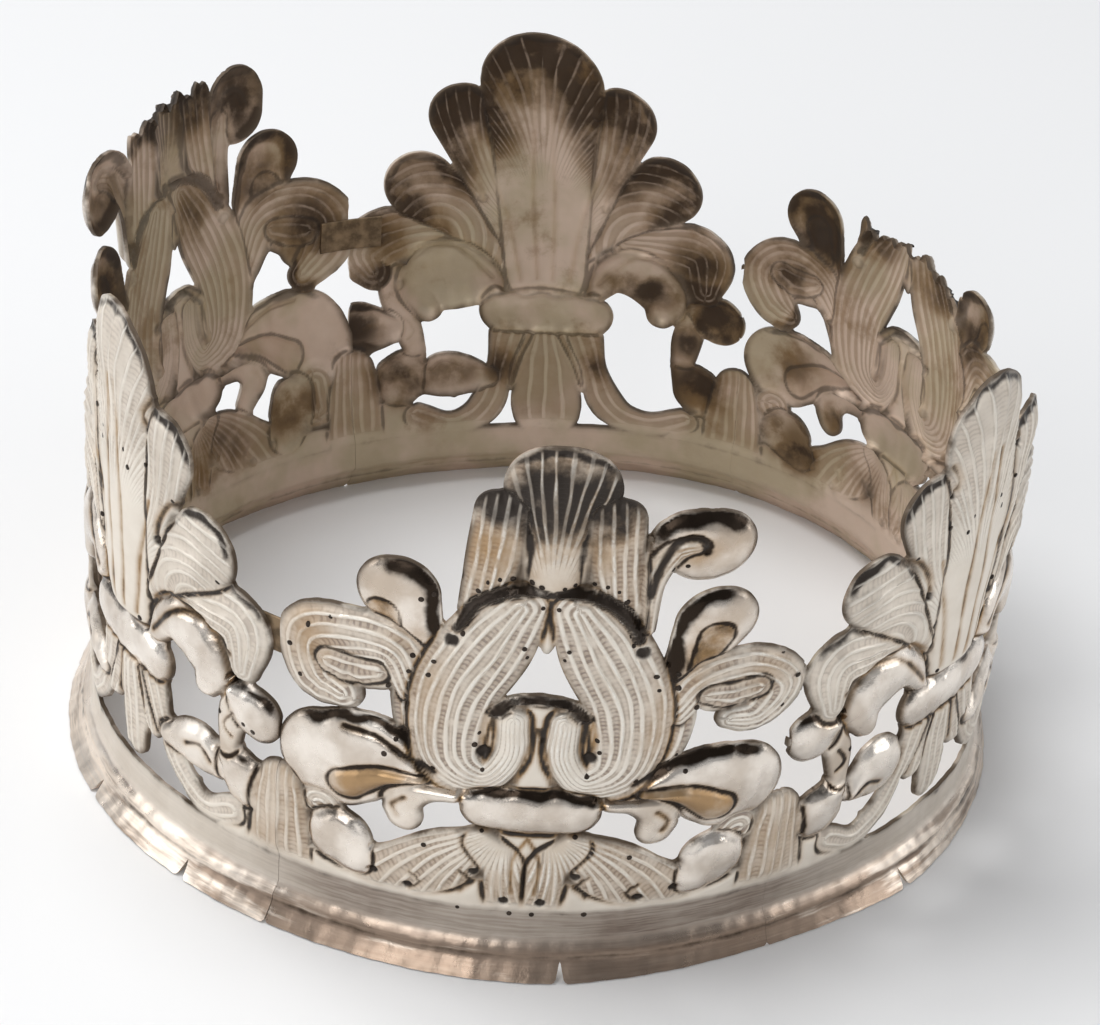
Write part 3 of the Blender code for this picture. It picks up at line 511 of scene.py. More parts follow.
def outlineDepth(layers, angle, height, start, end):
    # how far inside the sheet's outline each point lies, in metres
    depth = np.minimum(freeDepth(layers, height) * unit, height)
    depth = np.minimum(depth, (angle - start) * wallRadius)
    depth = np.minimum(depth, (end - angle) * wallRadius)
    for slit in crown["slitAngles"]:
        for turn in (0, 2 * math.pi):
            beside = np.abs(angle - math.radians(slit) - turn) * wallRadius
            wide = 0.5 * crown["slitWidth"] * (1 - height / crown["slitHeight"])
            depth = np.minimum(depth, np.maximum(beside - wide, height - crown["slitHeight"]))
    return depth


def lineAway(across, up, points):
    # distance from an open line
    away = np.full(across.shape, chasing["farAway"])
    for start, end in zip(points[:-1], points[1:]):
        runX, runY = end[0] - start[0], end[1] - start[1]
        toX, toY = across - start[0], up - start[1]
        share = np.clip((toX * runX + toY * runY) / (runX ** 2 + runY ** 2), 0, 1)
        away = np.minimum(away, np.hypot(toX - share * runX, toY - share * runY))
    return away


def flutesOf(look, place, across, up):
    # which flute a point is on, how wide it is there, the way along it and how strongly it is cut
    inside, offset, run = place[:3]
    if look.get("flutes"):
        if look.get("open"):
            offset = place[6]
        phase = 0.5 * (offset + 1) * look["flutes"]
        wide = 2 * place[5] / look["flutes"]
    elif look.get("fan"):
        footAcross, footUp, pitch, swirl = look["fan"]
        run = np.hypot(across - footAcross, up - footUp)
        phase = (np.arctan2(across - footAcross, up - footUp) + swirl * run / 100) / pitch + 20.5
        wide = run * pitch
    elif look.get("rings"):
        # flutes that run in arcs round a point
        middleAcross, middleUp, pitch = look["rings"]
        away = np.hypot(across - middleAcross, up - middleUp)
        phase = away / pitch
        wide = np.full_like(away, pitch)
        run = np.arctan2(across - middleAcross, up - middleUp) * away
    elif look.get("flare"):
        footUp, length, power, pitch = look["flare"]
        grown = (np.maximum(up - footUp, 3) / length) ** power
        phase = np.abs(across) / grown / pitch + 20
        wide = pitch * grown
        run = np.hypot(across, up)
    else:
        return np.full_like(up, 0.5), np.ones_like(up), run, np.zeros_like(up)
    waver = sum(amount * np.sin(along * run + over * phase) for amount, along, over in chasing["waver"])
    return phase + waver, wide, run, smoothStep(inside, 0.2, 1.1) * smoothStep(wide, 0.4, 0.9)


def deepen(looks, name, values):
    looks[name] = np.maximum(looks[name], values)


def chaseLeaf(layer, relief, looks, free, aboveBand):
    # lays one leaf over the relief so far
    look, place, across, up, width, length = layer
    inside, offset = place[:2]
    flat, raised = look.get("flat"), "rise" in look
    if flat:
        rise = chasing["flatRise"] * unit
    else:
        rise = (chasing["smoothRise"] if look.get("shine") else chasing["fluteRise"]) * width * unit
        rise *= chasing["boldFactor"] if look.get("bold") else 1
    blend = smoothStep(inside, 0, chasing["edgeWidth"]) * aboveBand
    body = look.get("rise", rise) * (1 - np.clip(np.abs(offset), 0, 1) ** 2)
    relief = relief * (1 if raised else 1 - blend) + body * blend
    cover = smoothStep(inside, -0.3, 0.5) * aboveBand
    phase, wide, run, strength = flutesOf(look, place, across, up)
    for name, values in (("phase", phase), ("wide", wide), ("run", run)):
        looks[name] = np.where(cover > 0.5, values, looks[name])
    looks["fluting"] = np.where(cover > 0.5, strength * aboveBand, looks["fluting"] * (1 - cover))
    for name in ("dusk", "toning", "shine", "tip"):
        looks[name] = looks[name] * (1 - cover) + cover * look.get(name, 0)
    # the chased line round the leaf
    groove = bell(inside, -0.1, chasing["grooveWidth"]) * aboveBand
    relief = relief - chasing["grooveDepth"] * groove * (0.4 if flat or raised else 1)
    line = groove * (0.25 if flat else 0.85) * smoothStep(free, 0.3, 1.4)
    deepen(looks, "dusk", line)
    deepen(looks, "toning", line + groove * look.get("outlined", 0))
    if look.get("rimDark"):
        # dark metal just inside the edge, on the side of the leaf that looks up: partly tarnish, partly
        # painted shadow under the rolled edge
        towardX, towardY = look.get("rimFrom", (0, 1))
        facing = smoothStep(place[3] * towardX + place[4] * towardY, 0.1, 0.75) * cover * (inside > 0)
        edge = inside + 0.3 * np.sin(0.9 * across + 0.4 * up) + 0.3 * np.sin(0.5 * up - 0.7 * across)
        hollow = bell(edge, 1.2, look.get("rimWide", 1.1)) * facing
        deepen(looks, "dusk", hollow * look["rimDark"])
        relief = relief - chasing["rimGroove"] * hollow
    if look.get("tipReach"):
        left = look["tipReach"] - np.maximum(inside, 0) - 0.8 * (length - place[2])
        deepen(looks, "tip", smoothStep(left, 0, look["tipReach"]) * cover)
    return relief


def chaseMarks(palmette, angle, height, relief, looks):
    # pits, cut lines and stains of one palmette
    across, up = palmetteGrid(palmette, angle, height)
    marks = palmettes[palmette][1]
    cuts = []
    for pitAcross, pitUp, radius in marks["pits"]:
        away = np.hypot(np.abs(across) - pitAcross, up - pitUp)
        cuts.append((np.exp(-(away / radius) ** 4), chasing["pitDepth"], 1, 0))
    for points, halfWidth, depth, darkness in marks["lines"]:
        away = lineAway(np.abs(across), up, spineNodes([point + (0,) for point in points]))
        cuts.append((bell(away, 0, halfWidth), depth, darkness, 1))
    for cut, depth, darkness, toned in cuts:
        relief = relief - depth * cut
        deepen(looks, "mark", cut)
        deepen(looks, "dusk", darkness * cut)
        deepen(looks, "toning", toned * cut)
        looks["fluting"] = looks["fluting"] * (1 - cut)
    stains = [stain[:4] + ("tip", stain[4]) for stain in innerStains.get(palmette, ())]
    for middleAcross, middleUp, wideX, wideY, kind, amount in list(marks.get("smears", ())) + stains:
        deepen(looks, kind, amount * bell(across, middleAcross, wideX) * bell(up, middleUp, wideY))
    return relief


def chase(sheet, angle, height):
    # relief in metres and the surface's looks at each point
    layers = sheetLayers(sheet, angle, height)
    free = freeDepth(layers, height)
    aboveBand = np.clip((height - crown["bandHeight"]) / (3 * unit), 0, 1)
    relief = np.zeros_like(angle)
    looks = {name: np.zeros_like(angle) for name in
             ("phase", "fluting", "wide", "run", "dusk", "tip", "toning", "shine", "mark")}
    for layer in layers:
        relief = chaseLeaf(layer, relief, looks, free, aboveBand)
    trough = np.sin(math.pi * np.mod(looks["phase"], 1))
    relief = relief - chasing["fluteDepth"] * trough * looks["fluting"] * smoothStep(looks["wide"], 0.6, 2.4)
    for palmette in sheets[sheet][:2]:
        relief = chaseMarks(palmette, angle, height, relief, looks)
    lineHeight, lineWidth, lineDepth, darkness = chasing["scribed"]
    scribed = bell(height / unit, lineHeight, lineWidth)
    deepen(looks, "dusk", darkness * scribed * (1 - 0.6 * aboveBand))
    # painted shade along the folds of the lip and moulding and where the leaves meet the band
    for crease, darkness in chasing["creases"]:
        deepen(looks, "dusk", darkness * bell(height, crown[crease], chasing["creaseWidth"]))
    looks["shine"] = np.where(height < crown["mouldingHeight"], 1, looks["shine"])
    # the free edge of the sheet, coloured dark brown in the finish: partly tarnish, partly painted shade on
    # the metal's edge
    looks["edge"] = bell(free, 0, 0.8)
    turn = np.degrees(angle)
    looks["calm"] = smoothStep(np.abs(foldTurn(turn - palmettes[sheets[sheet][0]][2])), *chasing["calmFrom"])
    # browner band toward the front is tarnish, the paler band on the sides is painted highlight
    looks["brownAndSheen"] = sum(amount * bell(foldTurn(turn), middle, spread)
                        for amount, middle, spread in chasing["brownAndSheen"])
    looks["lip"] = 1 - smoothStep(height, 0.8 * crown["mouldingHeight"], 1.1 * crown["mouldingHeight"])
    looks["band"] = 1 - smoothStep(height, crown["bandHeight"] - 0.0009, crown["bandHeight"] + 0.0003)
    # soft dents of hand work and use
    dents = (np.sin(41 * angle + 320 * height) * np.sin(230 * height - 17 * angle + 1)
             + 0.6 * np.sin(67 * angle - 410 * height + 2) * np.sin(90 * angle + 3))
    return relief - lineDepth * scribed + chasing["dentDepth"] * dents, looks


def insideBox(points, twins):
    # softly presses what would stand out of the solids' box back inside, and its inner twin with it
    soft = chasing["softPress"]
    for axis in (0, 1):
        for sign, limit in ((-1, -cadBox[0][axis]), (1, cadBox[1][axis])):
            over = np.maximum(sign * points[:, axis] - (limit - soft), 0)
            pressed = soft * (1 - np.exp(-over / soft)) - over
            points[:, axis] += sign * pressed
            twins[:, axis] += sign * pressed
    for face in (points, twins):
        face[:, 2] = np.minimum(face[:, 2], cadBox[1][2])
    return points, twins


def fillPinholes(depth, cell):
    # openings smaller than any that was pierced are metal
    seen = depth > 0
    rows, columns = depth.shape
    for first in zip(*np.nonzero(~seen)):
        if seen[first]:
            continue
        seen[first] = True
        patch, ahead = [], [(int(first[0]), int(first[1]))]
        while ahead:
            row, column = ahead.pop()
            patch.append((row, column))
            for place in ((row + 1, column), (row - 1, column), (row, column + 1), (row, column - 1)):
                if 0 <= place[0] < rows and 0 <= place[1] < columns and not seen[place]:
                    seen[place] = True
                    ahead.append(place)
        if len(patch) * cell ** 2 < crown["smallestHole"] ** 2:
            for place in patch:
                depth[place] = 0.2 * cell
    return depth


def gridMesh(depth, along, heights):
    # the sheet rolled out flat, cut cleanly along its outline
    inside = depth > 0
    nodeIndex = -np.ones(depth.shape, int)
    rows, columns = np.nonzero(inside)
    nodeIndex[rows, columns] = np.arange(len(rows))
    places = [np.stack((along[columns], heights[rows]), 1)]
    count = len(rows)
    edgeIndex = {}
    for down, right in ((0, 1), (1, 0)):
        first = depth[:depth.shape[0] - down, :depth.shape[1] - right]
        second = depth[down:, right:]
        rows, columns = np.nonzero((first > 0) != (second > 0))
        share = first[rows, columns] / (first[rows, columns] - second[rows, columns])
        share = np.clip(share, 0.04, 0.96)
        stepAlong = along[columns + right] - along[columns]
        stepUp = heights[rows + down] - heights[rows]
        places.append(np.stack((along[columns] + share * right * stepAlong,
                                heights[rows] + share * down * stepUp), 1))
        table = -np.ones(depth.shape, int)
        table[rows, columns] = count + np.arange(len(rows))
        edgeIndex[(down, right)] = table
        count += len(rows)
    flatEdges, steepEdges = edgeIndex[(0, 1)], edgeIndex[(1, 0)]
    total = np.sum((inside[:-1, :-1], inside[:-1, 1:], inside[1:, 1:], inside[1:, :-1]), 0)
    rows, columns = np.nonzero(total == 4)
    quads = np.stack((nodeIndex[rows, columns], nodeIndex[rows, columns + 1],
                      nodeIndex[rows + 1, columns + 1], nodeIndex[rows + 1, columns]), 1)
    polygons, rim = [], []
    for row, column in zip(*np.nonzero((total > 0) & (total < 4))):
        cornerAt = ((row, column), (row, column + 1), (row + 1, column + 1), (row + 1, column))
        edgeAt = (flatEdges[row, column], steepEdges[row, column + 1],
                  flatEdges[row + 1, column], steepEdges[row, column])
        ring = []
        for step in range(4):
            here, after = cornerAt[step], cornerAt[(step + 1) % 4]
            if inside[here]:
                ring.append((nodeIndex[here], False))
            if inside[here] != inside[after]:
                ring.append((edgeAt[step], not inside[after]))
        polygons.append([int(point) for point, _ in ring])
        for (point, leaving), (nextPoint, _) in zip(ring, ring[1:] + ring[:1]):
            if leaving:
                rim.append((int(point), int(nextPoint)))
    return np.vstack(places), quads, polygons, rim


def buildMesh(name, points, quads, polygons):
    mesh = bpy.data.meshes.new(name)
    sizes = np.concatenate((np.full(len(quads), 4), [len(ring) for ring in polygons])).astype(np.int32)
    loops = np.concatenate([quads.ravel()] + [np.array(ring) for ring in polygons]).astype(np.int32)
    starts = np.concatenate(([0], np.cumsum(sizes)[:-1])).astype(np.int32)
    mesh.vertices.add(len(points))
    mesh.vertices.foreach_set("co", points.astype(np.float32).ravel())
    mesh.loops.add(len(loops))
    mesh.loops.foreach_set("vertex_index", loops)
    mesh.polygons.add(len(sizes))
    mesh.polygons.foreach_set("loop_start", starts)
    mesh.update(calc_edges=True)
    mesh.validate()
    mesh.shade_smooth()
    mesh.set_sharp_from_angle(angle=math.radians(62))
    return mesh, loops


def addLook(mesh, name, values):
    attribute = mesh.attributes.new(name, "FLOAT", "POINT")
    attribute.data.foreach_set("value", values.astype(np.float32))


def addItem(name, data):
    item = bpy.data.objects.new(name, data)
    bpy.context.scene.collection.objects.link(item)
    return item


def makePalmette(name, sheet, start, end, material):
    # one palmette of a sheet, with both faces of the metal and the wall between them
    cell = chasing["cell"]
    steps = int(round((end - start) * wallRadius / cell))
    along = np.linspace(start * wallRadius, end * wallRadius, steps + 1)
    step = along[1] - along[0]
    along = np.concatenate(([along[0] - step], along, [along[-1] + step]))
    bandRows = np.arange(0.5 * chasing["bandRow"], crown["bandHeight"] - 2 * cell, chasing["bandRow"])
    leafRows = np.arange(bandRows[-1] + cell, crown["gridTop"] * unit, cell)
    heights = np.concatenate(([-0.5 * chasing["bandRow"]], bandRows, leafRows))
    gridAlong, gridHeight = np.meshgrid(along, heights)
    gridAngle = gridAlong / wallRadius
    layers = sheetLayers(sheet, gridAngle, gridHeight)
    depth = fillPinholes(outlineDepth(layers, gridAngle, gridHeight, start, end), cell)
    places, quads, polygons, rim = gridMesh(depth, along, heights)
    angle, height = places[:, 0] / wallRadius, places[:, 1]
    height = np.where(np.abs(height) < 1e-5, 0, height)
    relief, looks = chase(sheet, angle, height)
    half = crown["sheetThickness"] / 2
    points = np.vstack(insideBox(surfacePoint(angle, height, relief + half),
                                 surfacePoint(angle, height, relief - half)))
    count = len(places)
    rings = [list(ring) for ring in polygons] + [[point + count for point in ring[::-1]] for ring in polygons]
    rings += [[second, first, first + count, second + count] for first, second in rim]
    quads = np.vstack((quads, quads[:, ::-1] + count))
    mesh, loops = buildMesh(name, points, quads, rings)
    for look, values in looks.items():
        addLook(mesh, look, np.concatenate((values, values)))
    addLook(mesh, "inner", np.concatenate((np.zeros(count), np.ones(count))))
    sheetMap = mesh.uv_layers.new(name="sheetMap")
    flat = np.vstack((places, places))[loops] * 10
    sheetMap.data.foreach_set("uv", flat.astype(np.float32).ravel())
    mesh.materials.append(material)
    piece = addItem(name, mesh)
    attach(piece, "root")
    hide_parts(sheet)
    print(name, len(quads) * 2 + sum(len(ring) - 2 for ring in rings), "triangles")


# ---- old silver
silver = {
    "pale": (0.88, 0.81, 0.73, 1),
    "grey": (0.62, 0.54, 0.46, 1),
    "ground": (0.80, 0.73, 0.63, 1),
    "trough": (0.52, 0.425, 0.34, 1),
    "rung": (0.30, 0.245, 0.21, 1),
    "beside": (0.27, 0.20, 0.145, 1),
    "ridgePale": (0.93, 0.90, 0.83, 1),
    "gold": (0.40, 0.25, 0.12, 1),
    # dark brown of the free edge: tarnish and painted shade
    "rim": (0.10, 0.07, 0.045, 1),
    "black": (0.03, 0.021, 0.015, 1),
    "bandTone": (0.16, 0.11, 0.082, 1),
    # pale lip colour: the metal's own streaky tone, brightened as painted highlight
    "lipToneAndSheen": (0.90, 0.78, 0.66, 1),
    "lipStain": (0.22, 0.15, 0.105, 1),
    "insideTone": (0.60, 0.455, 0.355, 1),
    "insideOlive": (0.42, 0.335, 0.21, 1),
    "insideTip": (0.04, 0.021, 0.009, 1),
    "insideWarm": (0.21, 0.12, 0.045, 1),
    "insideRidge": (0.58, 0.44, 0.33, 1),
    "roughLow": 0.16,
    "roughHigh": 0.34,
    "leastMetal": 0.15,
    "rungsAlong": 5.2,
    "insideShare": 0.85,
    "bump": (0.55, 0.00022),  # strength, distance
}


class NodeMaker:
    # short calls for building a tree of nodes
    def __init__(self, tree):
        self.tree = tree

    def feed(self, node, inputs):
        # each input takes a plain value or another node's output
        for socket, value in dict(inputs).items():
            if isinstance(value, bpy.types.NodeSocket):
                self.tree.links.new(value, node.inputs[socket])
            else:
                node.inputs[socket].default_value = value

    def node(self, kind, output, inputs=(), **settings):
        node = self.tree.nodes.new(kind)
        for setting, value in settings.items():
            setattr(node, setting, value)
        self.feed(node, inputs)
        return node.outputs[output]

    def attribute(self, name):
        return self.node("ShaderNodeAttribute", "Fac", attribute_name=name)

    def math(self, operation, *values):
        return self.node("ShaderNodeMath", 0, dict(enumerate(values)), operation=operation)

    def minus(self, first, second):
        return self.math("SUBTRACT", first, second)

    def times(self, first, *others):
        for other in others:
            first = self.math("MULTIPLY", first, other)
        return first

    def plus(self, first, *weighed):
        # adds each value times its weight
        for value, weight in weighed:
            first = self.math("MULTIPLY_ADD", value, weight, first)
        return first

    def ramp(self, value, low, high, newLow=0.0, newHigh=1.0):
        limits = {"From Min": low, "From Max": high, "To Min": newLow, "To Max": newHigh}
        return self.node("ShaderNodeMapRange", "Result", {"Value": value, **limits},
                         interpolation_type="SMOOTHSTEP")

    def span(self, share, newLow, newHigh):
        return self.ramp(share, 0.0, 1.0, newLow, newHigh)

    def mix(self, share, first, second):
        return self.node("ShaderNodeMix", 2, {0: share, 6: first, 7: second}, data_type="RGBA")

    def noise(self, vector, scale, detail=4.0, roughness=0.55):
        return self.node("ShaderNodeTexNoise", "Fac", {
            "Vector": vector, "Scale": scale, "Detail": detail, "Roughness": roughness})

    def placed(self, vector, scale):
        return self.node("ShaderNodeMapping", "Vector", {"Vector": vector, "Scale": scale})

    def lot(self, rounding, value, seed):
        # one random share for each whole number
        place = self.math("ADD", self.math(rounding, value), seed)
        return self.node("ShaderNodeTexWhiteNoise", "Value", {"W": place}, noise_dimensions="1D")

    def bump(self, height, strength, distance):
        return self.node("ShaderNodeBump", "Normal", {
            "Height": height, "Strength": strength, "Distance": distance})


def newMaterial(name):
    material = bpy.data.materials.new(name)
    material.use_nodes = True
    return material, material.node_tree.nodes["Principled BSDF"], NodeMaker(material.node_tree)


def silverMaterial(name):
    material, shader, make = newMaterial(name)
    times, plus, minus = make.times, make.plus, make.minus
    ramp, span, noise = make.ramp, make.span, make.noise
    spot = make.node("ShaderNodeTexCoord", "Object")
    sheetPlace = make.node("ShaderNodeUVMap", "UV", uv_map="sheetMap")
    inner, dusk, toning, shine, band, lip, brownAndSheen, fluting, wide, phase = (
        make.attribute(look) for look in
        ("inner", "dusk", "toning", "shine", "band", "lip", "brownAndSheen", "fluting", "wide", "phase"))
    broad, middling = noise(spot, 55), noise(spot, 150, 6)
    fine, grain = noise(spot, 520), noise(spot, 2200, 3)
    streak = noise(make.placed(sheetPlace, (3.0, 60.0, 1.0)), 4.0, 5)
    stain = plus(noise(make.placed(sheetPlace, (2.2, 22.0, 1.0)), 3.0, 6), (brownAndSheen, 0.31))
    outer, matte = minus(1.0, inner), minus(1.0, shine)
    calm = times(make.attribute("calm"), outer)
    # flutes: distance from the ridge line, and the tool's rungs across the hollow
    troughLot, ridgeLot = make.lot("FLOOR", phase, 0.37), make.lot("ROUND", phase, 0.61)
    toRidge = minus(0.5, make.math("ABSOLUTE", minus(make.math("FRACT", phase), 0.5)))
    away = times(toRidge, wide)
    ridge = times(ramp(plus(away, (minus(middling, 0.5), 0.9)), 0.12, 0.46, 1.0, 0.0), fluting,
                  ramp(middling, 0.36, 0.6, 0.3, 1.0), span(ridgeLot, 0.6, 1.0))
    hollow = times(ramp(away, 0.2, 0.8), fluting)
    turn = times(plus(make.attribute("run"), (middling, 3.0)), silver["rungsAlong"])
    rung = times(ramp(make.math("SINE", turn), -0.2, 0.7), hollow, ramp(troughLot, 0.2, 0.8, 0.15, 1.0),
                 ramp(fine, 0.35, 0.6, 0.25, 1.0), span(calm, 0.9, 0.3), span(inner, 1.0, 0.1))
    trough = times(hollow, span(troughLot, 0.5, 1.0), ramp(fine, 0.3, 0.65, 0.5, 1.0),
                   span(calm, 1.0, 0.45))
    beside = times(ramp(away, 0.3, 0.5), ramp(away, 0.55, 0.95, 1.0, 0.0), fluting,
                   ramp(fine, 0.35, 0.6, 0.1, 0.5), span(calm, 1.0, 0.55))
    # band tarnish, less of it toward the sides, where the paler band is painted highlight
    bandShare = times(band, ramp(streak, 0.3, 0.66, 1.0, 0.75), ramp(broad, 0.38, 0.6, 1.0, 0.8),
                      span(brownAndSheen, 0.25, 1.0))
    # the inside: warm brown, dark toward the tips, pale on the ridges
    insideShare = times(inner, silver["insideShare"])
    insideColor = make.mix(ramp(broad, 0.4, 0.6), silver["insideTone"], silver["insideOlive"])
    insideColor = make.mix(times(hollow, 0.5), insideColor, silver["insideWarm"])
    tip = times(make.attribute("tip"), ramp(middling, 0.32, 0.62, 0.45, 1.6))
    warm = times(ramp(tip, 0.0, 0.45), ramp(broad, 0.35, 0.6, 0.55, 1.0), insideShare)
    tipShare = times(ramp(tip, 0.15, 1.0), span(inner, 0.1, 0.95))
    blotch = times(inner, ramp(noise(spot, 95, 7, 0.65), 0.54, 0.7, 0.0, 0.6), plus(1.0, (band, -0.75)))
    innerRidge = times(ridge, inner, ramp(fine, 0.35, 0.6, 0.1, 0.5), ramp(tip, 0.0, 0.5, 0.35, 1.0))
    # pale colour along the flute ridges
    ridgePaleShare = times(ridge, ramp(grain, 0.3, 0.6, 0.45, 1.0), ramp(fine, 0.34, 0.6, 0.15, 0.9),
                   span(calm, 1.0, 0.5), outer)
    # black where the dusk look is: tarnish in grooves, pits and smears, with painted shade along the folds
    # and rolled rims
    blackTarnishAndShade = plus(dusk, (minus(middling, 0.5), 1.1), (minus(fine, 0.5), 0.5))
    behind = times(inner, plus(0.4, (make.attribute("mark"), 0.5)))
    blackTarnishAndShade = times(ramp(blackTarnishAndShade, 0.26, 0.78), ramp(dusk, 0.02, 0.2), plus(1.0, (ridge, -0.75)), minus(1.0, behind))
    color = silver["pale"]
    for share, tone in (
            (ramp(middling, 0.35, 0.68), silver["grey"]),
            (times(matte, 0.75), silver["ground"]),
            (trough, silver["trough"]),
            (rung, silver["rung"]),
            (beside, silver["beside"]),
            (bandShare, silver["bandTone"]),
            # pale streaky lip: partly the metal's tone, partly painted highlight
            (times(lip, ramp(streak, 0.3, 0.7, 1.0, 0.3)), silver["lipToneAndSheen"]),
            (times(lip, ramp(stain, 0.5, 0.68, 0.0, 0.85)), silver["lipStain"]),
            (times(toning, ramp(middling, 0.3, 0.62, 0.5, 1.15)), silver["gold"]),
            (insideShare, insideColor),
            (warm, silver["insideWarm"]),
            (tipShare, silver["insideTip"]),
            (blotch, silver["insideWarm"]),
            (innerRidge, silver["insideRidge"]),
            (ridgePaleShare, silver["ridgePale"]),
            # dark brown on the free edge: tarnish and painted shade
            (times(make.attribute("edge"), ramp(middling, 0.36, 0.54, 0.3, 1.0)), silver["rim"]),
            (blackTarnishAndShade, silver["black"])):
        color = make.mix(share, color, tone)
    rough = ramp(noise(spot, 240), 0.3, 0.7, silver["roughLow"], silver["roughHigh"])
    metal = plus(0.97, (matte, -0.5), (inner, -0.35), (tipShare, -0.25))
    tall = plus(ridge, (rung, -0.5), (fine, 0.5), (grain, 0.15))
    make.feed(shader, {"Base Color": color,
                       "Roughness": plus(rough, (matte, 0.22), (inner, 0.3), (lip, 0.1), (tipShare, 0.15)),
                       "Metallic": make.math("MAXIMUM", metal, silver["leastMetal"]),
                       "Normal": make.bump(tall, *silver["bump"])})
    return material


oldSilver = silverMaterial("oldSilver")
halfSeam = 0.5 * chasing["seam"] / wallRadius
for sheet, (low, tall, start, end) in sheets.items():
    middle = math.radians(meetingAngle(sheet))
    makePalmette(low + "Palmette", sheet, math.radians(start) + halfSeam, middle, oldSilver)
    makePalmette(tall + "Palmette", sheet, middle, math.radians(end) - halfSeam, oldSilver)
print("palmettes chased")


# ---- tarnished dark metal, for the punched dots and the straps
def duskMaterial(name, color, roughness):
    material, shader, make = newMaterial(name)
    spot = make.node("ShaderNodeTexCoord", "Object")
    cloud = make.noise(spot, 600)
    darker = tuple(0.5 * part for part in color[:3]) + (1,)
    shader.inputs["Metallic"].default_value = 0.8
    make.feed(shader, {"Base Color": make.mix(make.ramp(cloud, 0.3, 0.7), color, darker),
                       "Roughness": make.ramp(cloud, 0.3, 0.7, roughness, roughness + 0.2),
                       "Normal": make.bump(make.noise(spot, 1500), 0.4, 0.0001)})
    return material


# ---- punched dots
punch = {
    "radius": 0.00040,
    "depth": 0.00010,
    "seed": 4,
    "growth": (0.75, 1.15),
    "step": 0.0004,  # metres over which the surface's slope is taken
    "color": (0.06, 0.045, 0.035, 1),
    "roughness": 0.4,
}


def treeWith(name, sizes):
    # a tree with named inputs: its maker, the outputs of its input node and its output node
    tree = bpy.data.node_groups.new(name, "GeometryNodeTree")
    tree.interface.new_socket("Geometry", in_out="INPUT", socket_type="NodeSocketGeometry")
    for label, value in sizes.items():
        kind = "NodeSocketInt" if isinstance(value, int) else "NodeSocketFloat"
        tree.interface.new_socket(label, in_out="INPUT", socket_type=kind).default_value = value
    tree.interface.new_socket("Finish", in_out="INPUT", socket_type="NodeSocketMaterial")
    tree.interface.new_socket("Geometry", in_out="OUTPUT", socket_type="NodeSocketGeometry")
    return NodeMaker(tree), tree.nodes.new("NodeGroupInput").outputs, tree.nodes.new("NodeGroupOutput")


def closeTree(make, source, result, geometry):
    finish = make.node("GeometryNodeSetMaterial", "Geometry", {
        "Geometry": geometry, "Material": source["Finish"]})
    make.feed(result, {"Geometry": finish})


def runTree(item, tree, sizes, material):
    # sets the inputs by identifier, then keeps the result as a plain mesh
    modifier = item.modifiers.new(tree.name, "NODES")
    modifier.node_group = tree
    sockets = {socket.name: socket.identifier for socket in tree.interface.items_tree
               if socket.in_out == "INPUT"}
    for label, value in sizes.items():
        modifier[sockets[label]] = value
    modifier[sockets["Finish"]] = material
    mesh = bpy.data.meshes.new_from_object(item.evaluated_get(bpy.context.evaluated_depsgraph_get()))
    item.modifiers.remove(modifier)
    item.data = mesh


def dotTree():
    sizes = {"Dot Radius": punch["radius"], "Dot Depth": punch["depth"], "Seed": punch["seed"]}
    make, source, result = treeWith("punchedDots", sizes)
    ball = make.node("GeometryNodeMeshIcoSphere", "Mesh", {"Radius": 1.0, "Subdivisions": 2})
    size = make.node("ShaderNodeCombineXYZ", "Vector", {
        "X": source["Dot Radius"], "Y": source["Dot Radius"], "Z": source["Dot Depth"]})
    outward = make.node("GeometryNodeInputNamedAttribute", "Attribute", {"Name": "outward"},
                        data_type="FLOAT_VECTOR")
    turn = make.node("FunctionNodeAlignRotationToVector", "Rotation", {"Vector": outward}, axis="Z")
    chance = make.node("FunctionNodeRandomValue", "Value", {
        "Min": punch["growth"][0], "Max": punch["growth"][1], "Seed": source["Seed"]}, data_type="FLOAT")
    grown = make.node("ShaderNodeVectorMath", "Vector", {"Vector": size, "Scale": chance}, operation="SCALE")
    place = make.node("GeometryNodeInstanceOnPoints", "Instances", {
        "Points": source["Geometry"], "Instance": ball, "Rotation": turn, "Scale": grown})
    whole = make.node("GeometryNodeRealizeInstances", "Geometry", {"Geometry": place})
    smooth = make.node("GeometryNodeSetShadeSmooth", "Geometry", {"Geometry": whole})
    closeTree(make, source, result, smooth)
    return make.tree, sizes


def dotPlaces(sheet):
    spots = []
    for palmette in sheets[sheet][:2]:
        _, marks, middle, left, right, tilt, tall = palmettes[palmette]
        for across, up in marks["dots"]:
            for side in (-1, 1):
                wide = side * across * (left if side < 0 else right) + tilt * (up - crown["tiltHeight"])
                spots.append((math.radians(middle) + wide / 100, up * unit * tall))
    angle, height = np.array(spots).T
    start, end = (math.radians(value) for value in sheets[sheet][2:])
    layers = sheetLayers(sheet, angle, height)
    keep = outlineDepth(layers, angle, height, start, end) > punch["radius"]
    return angle[keep], height[keep]


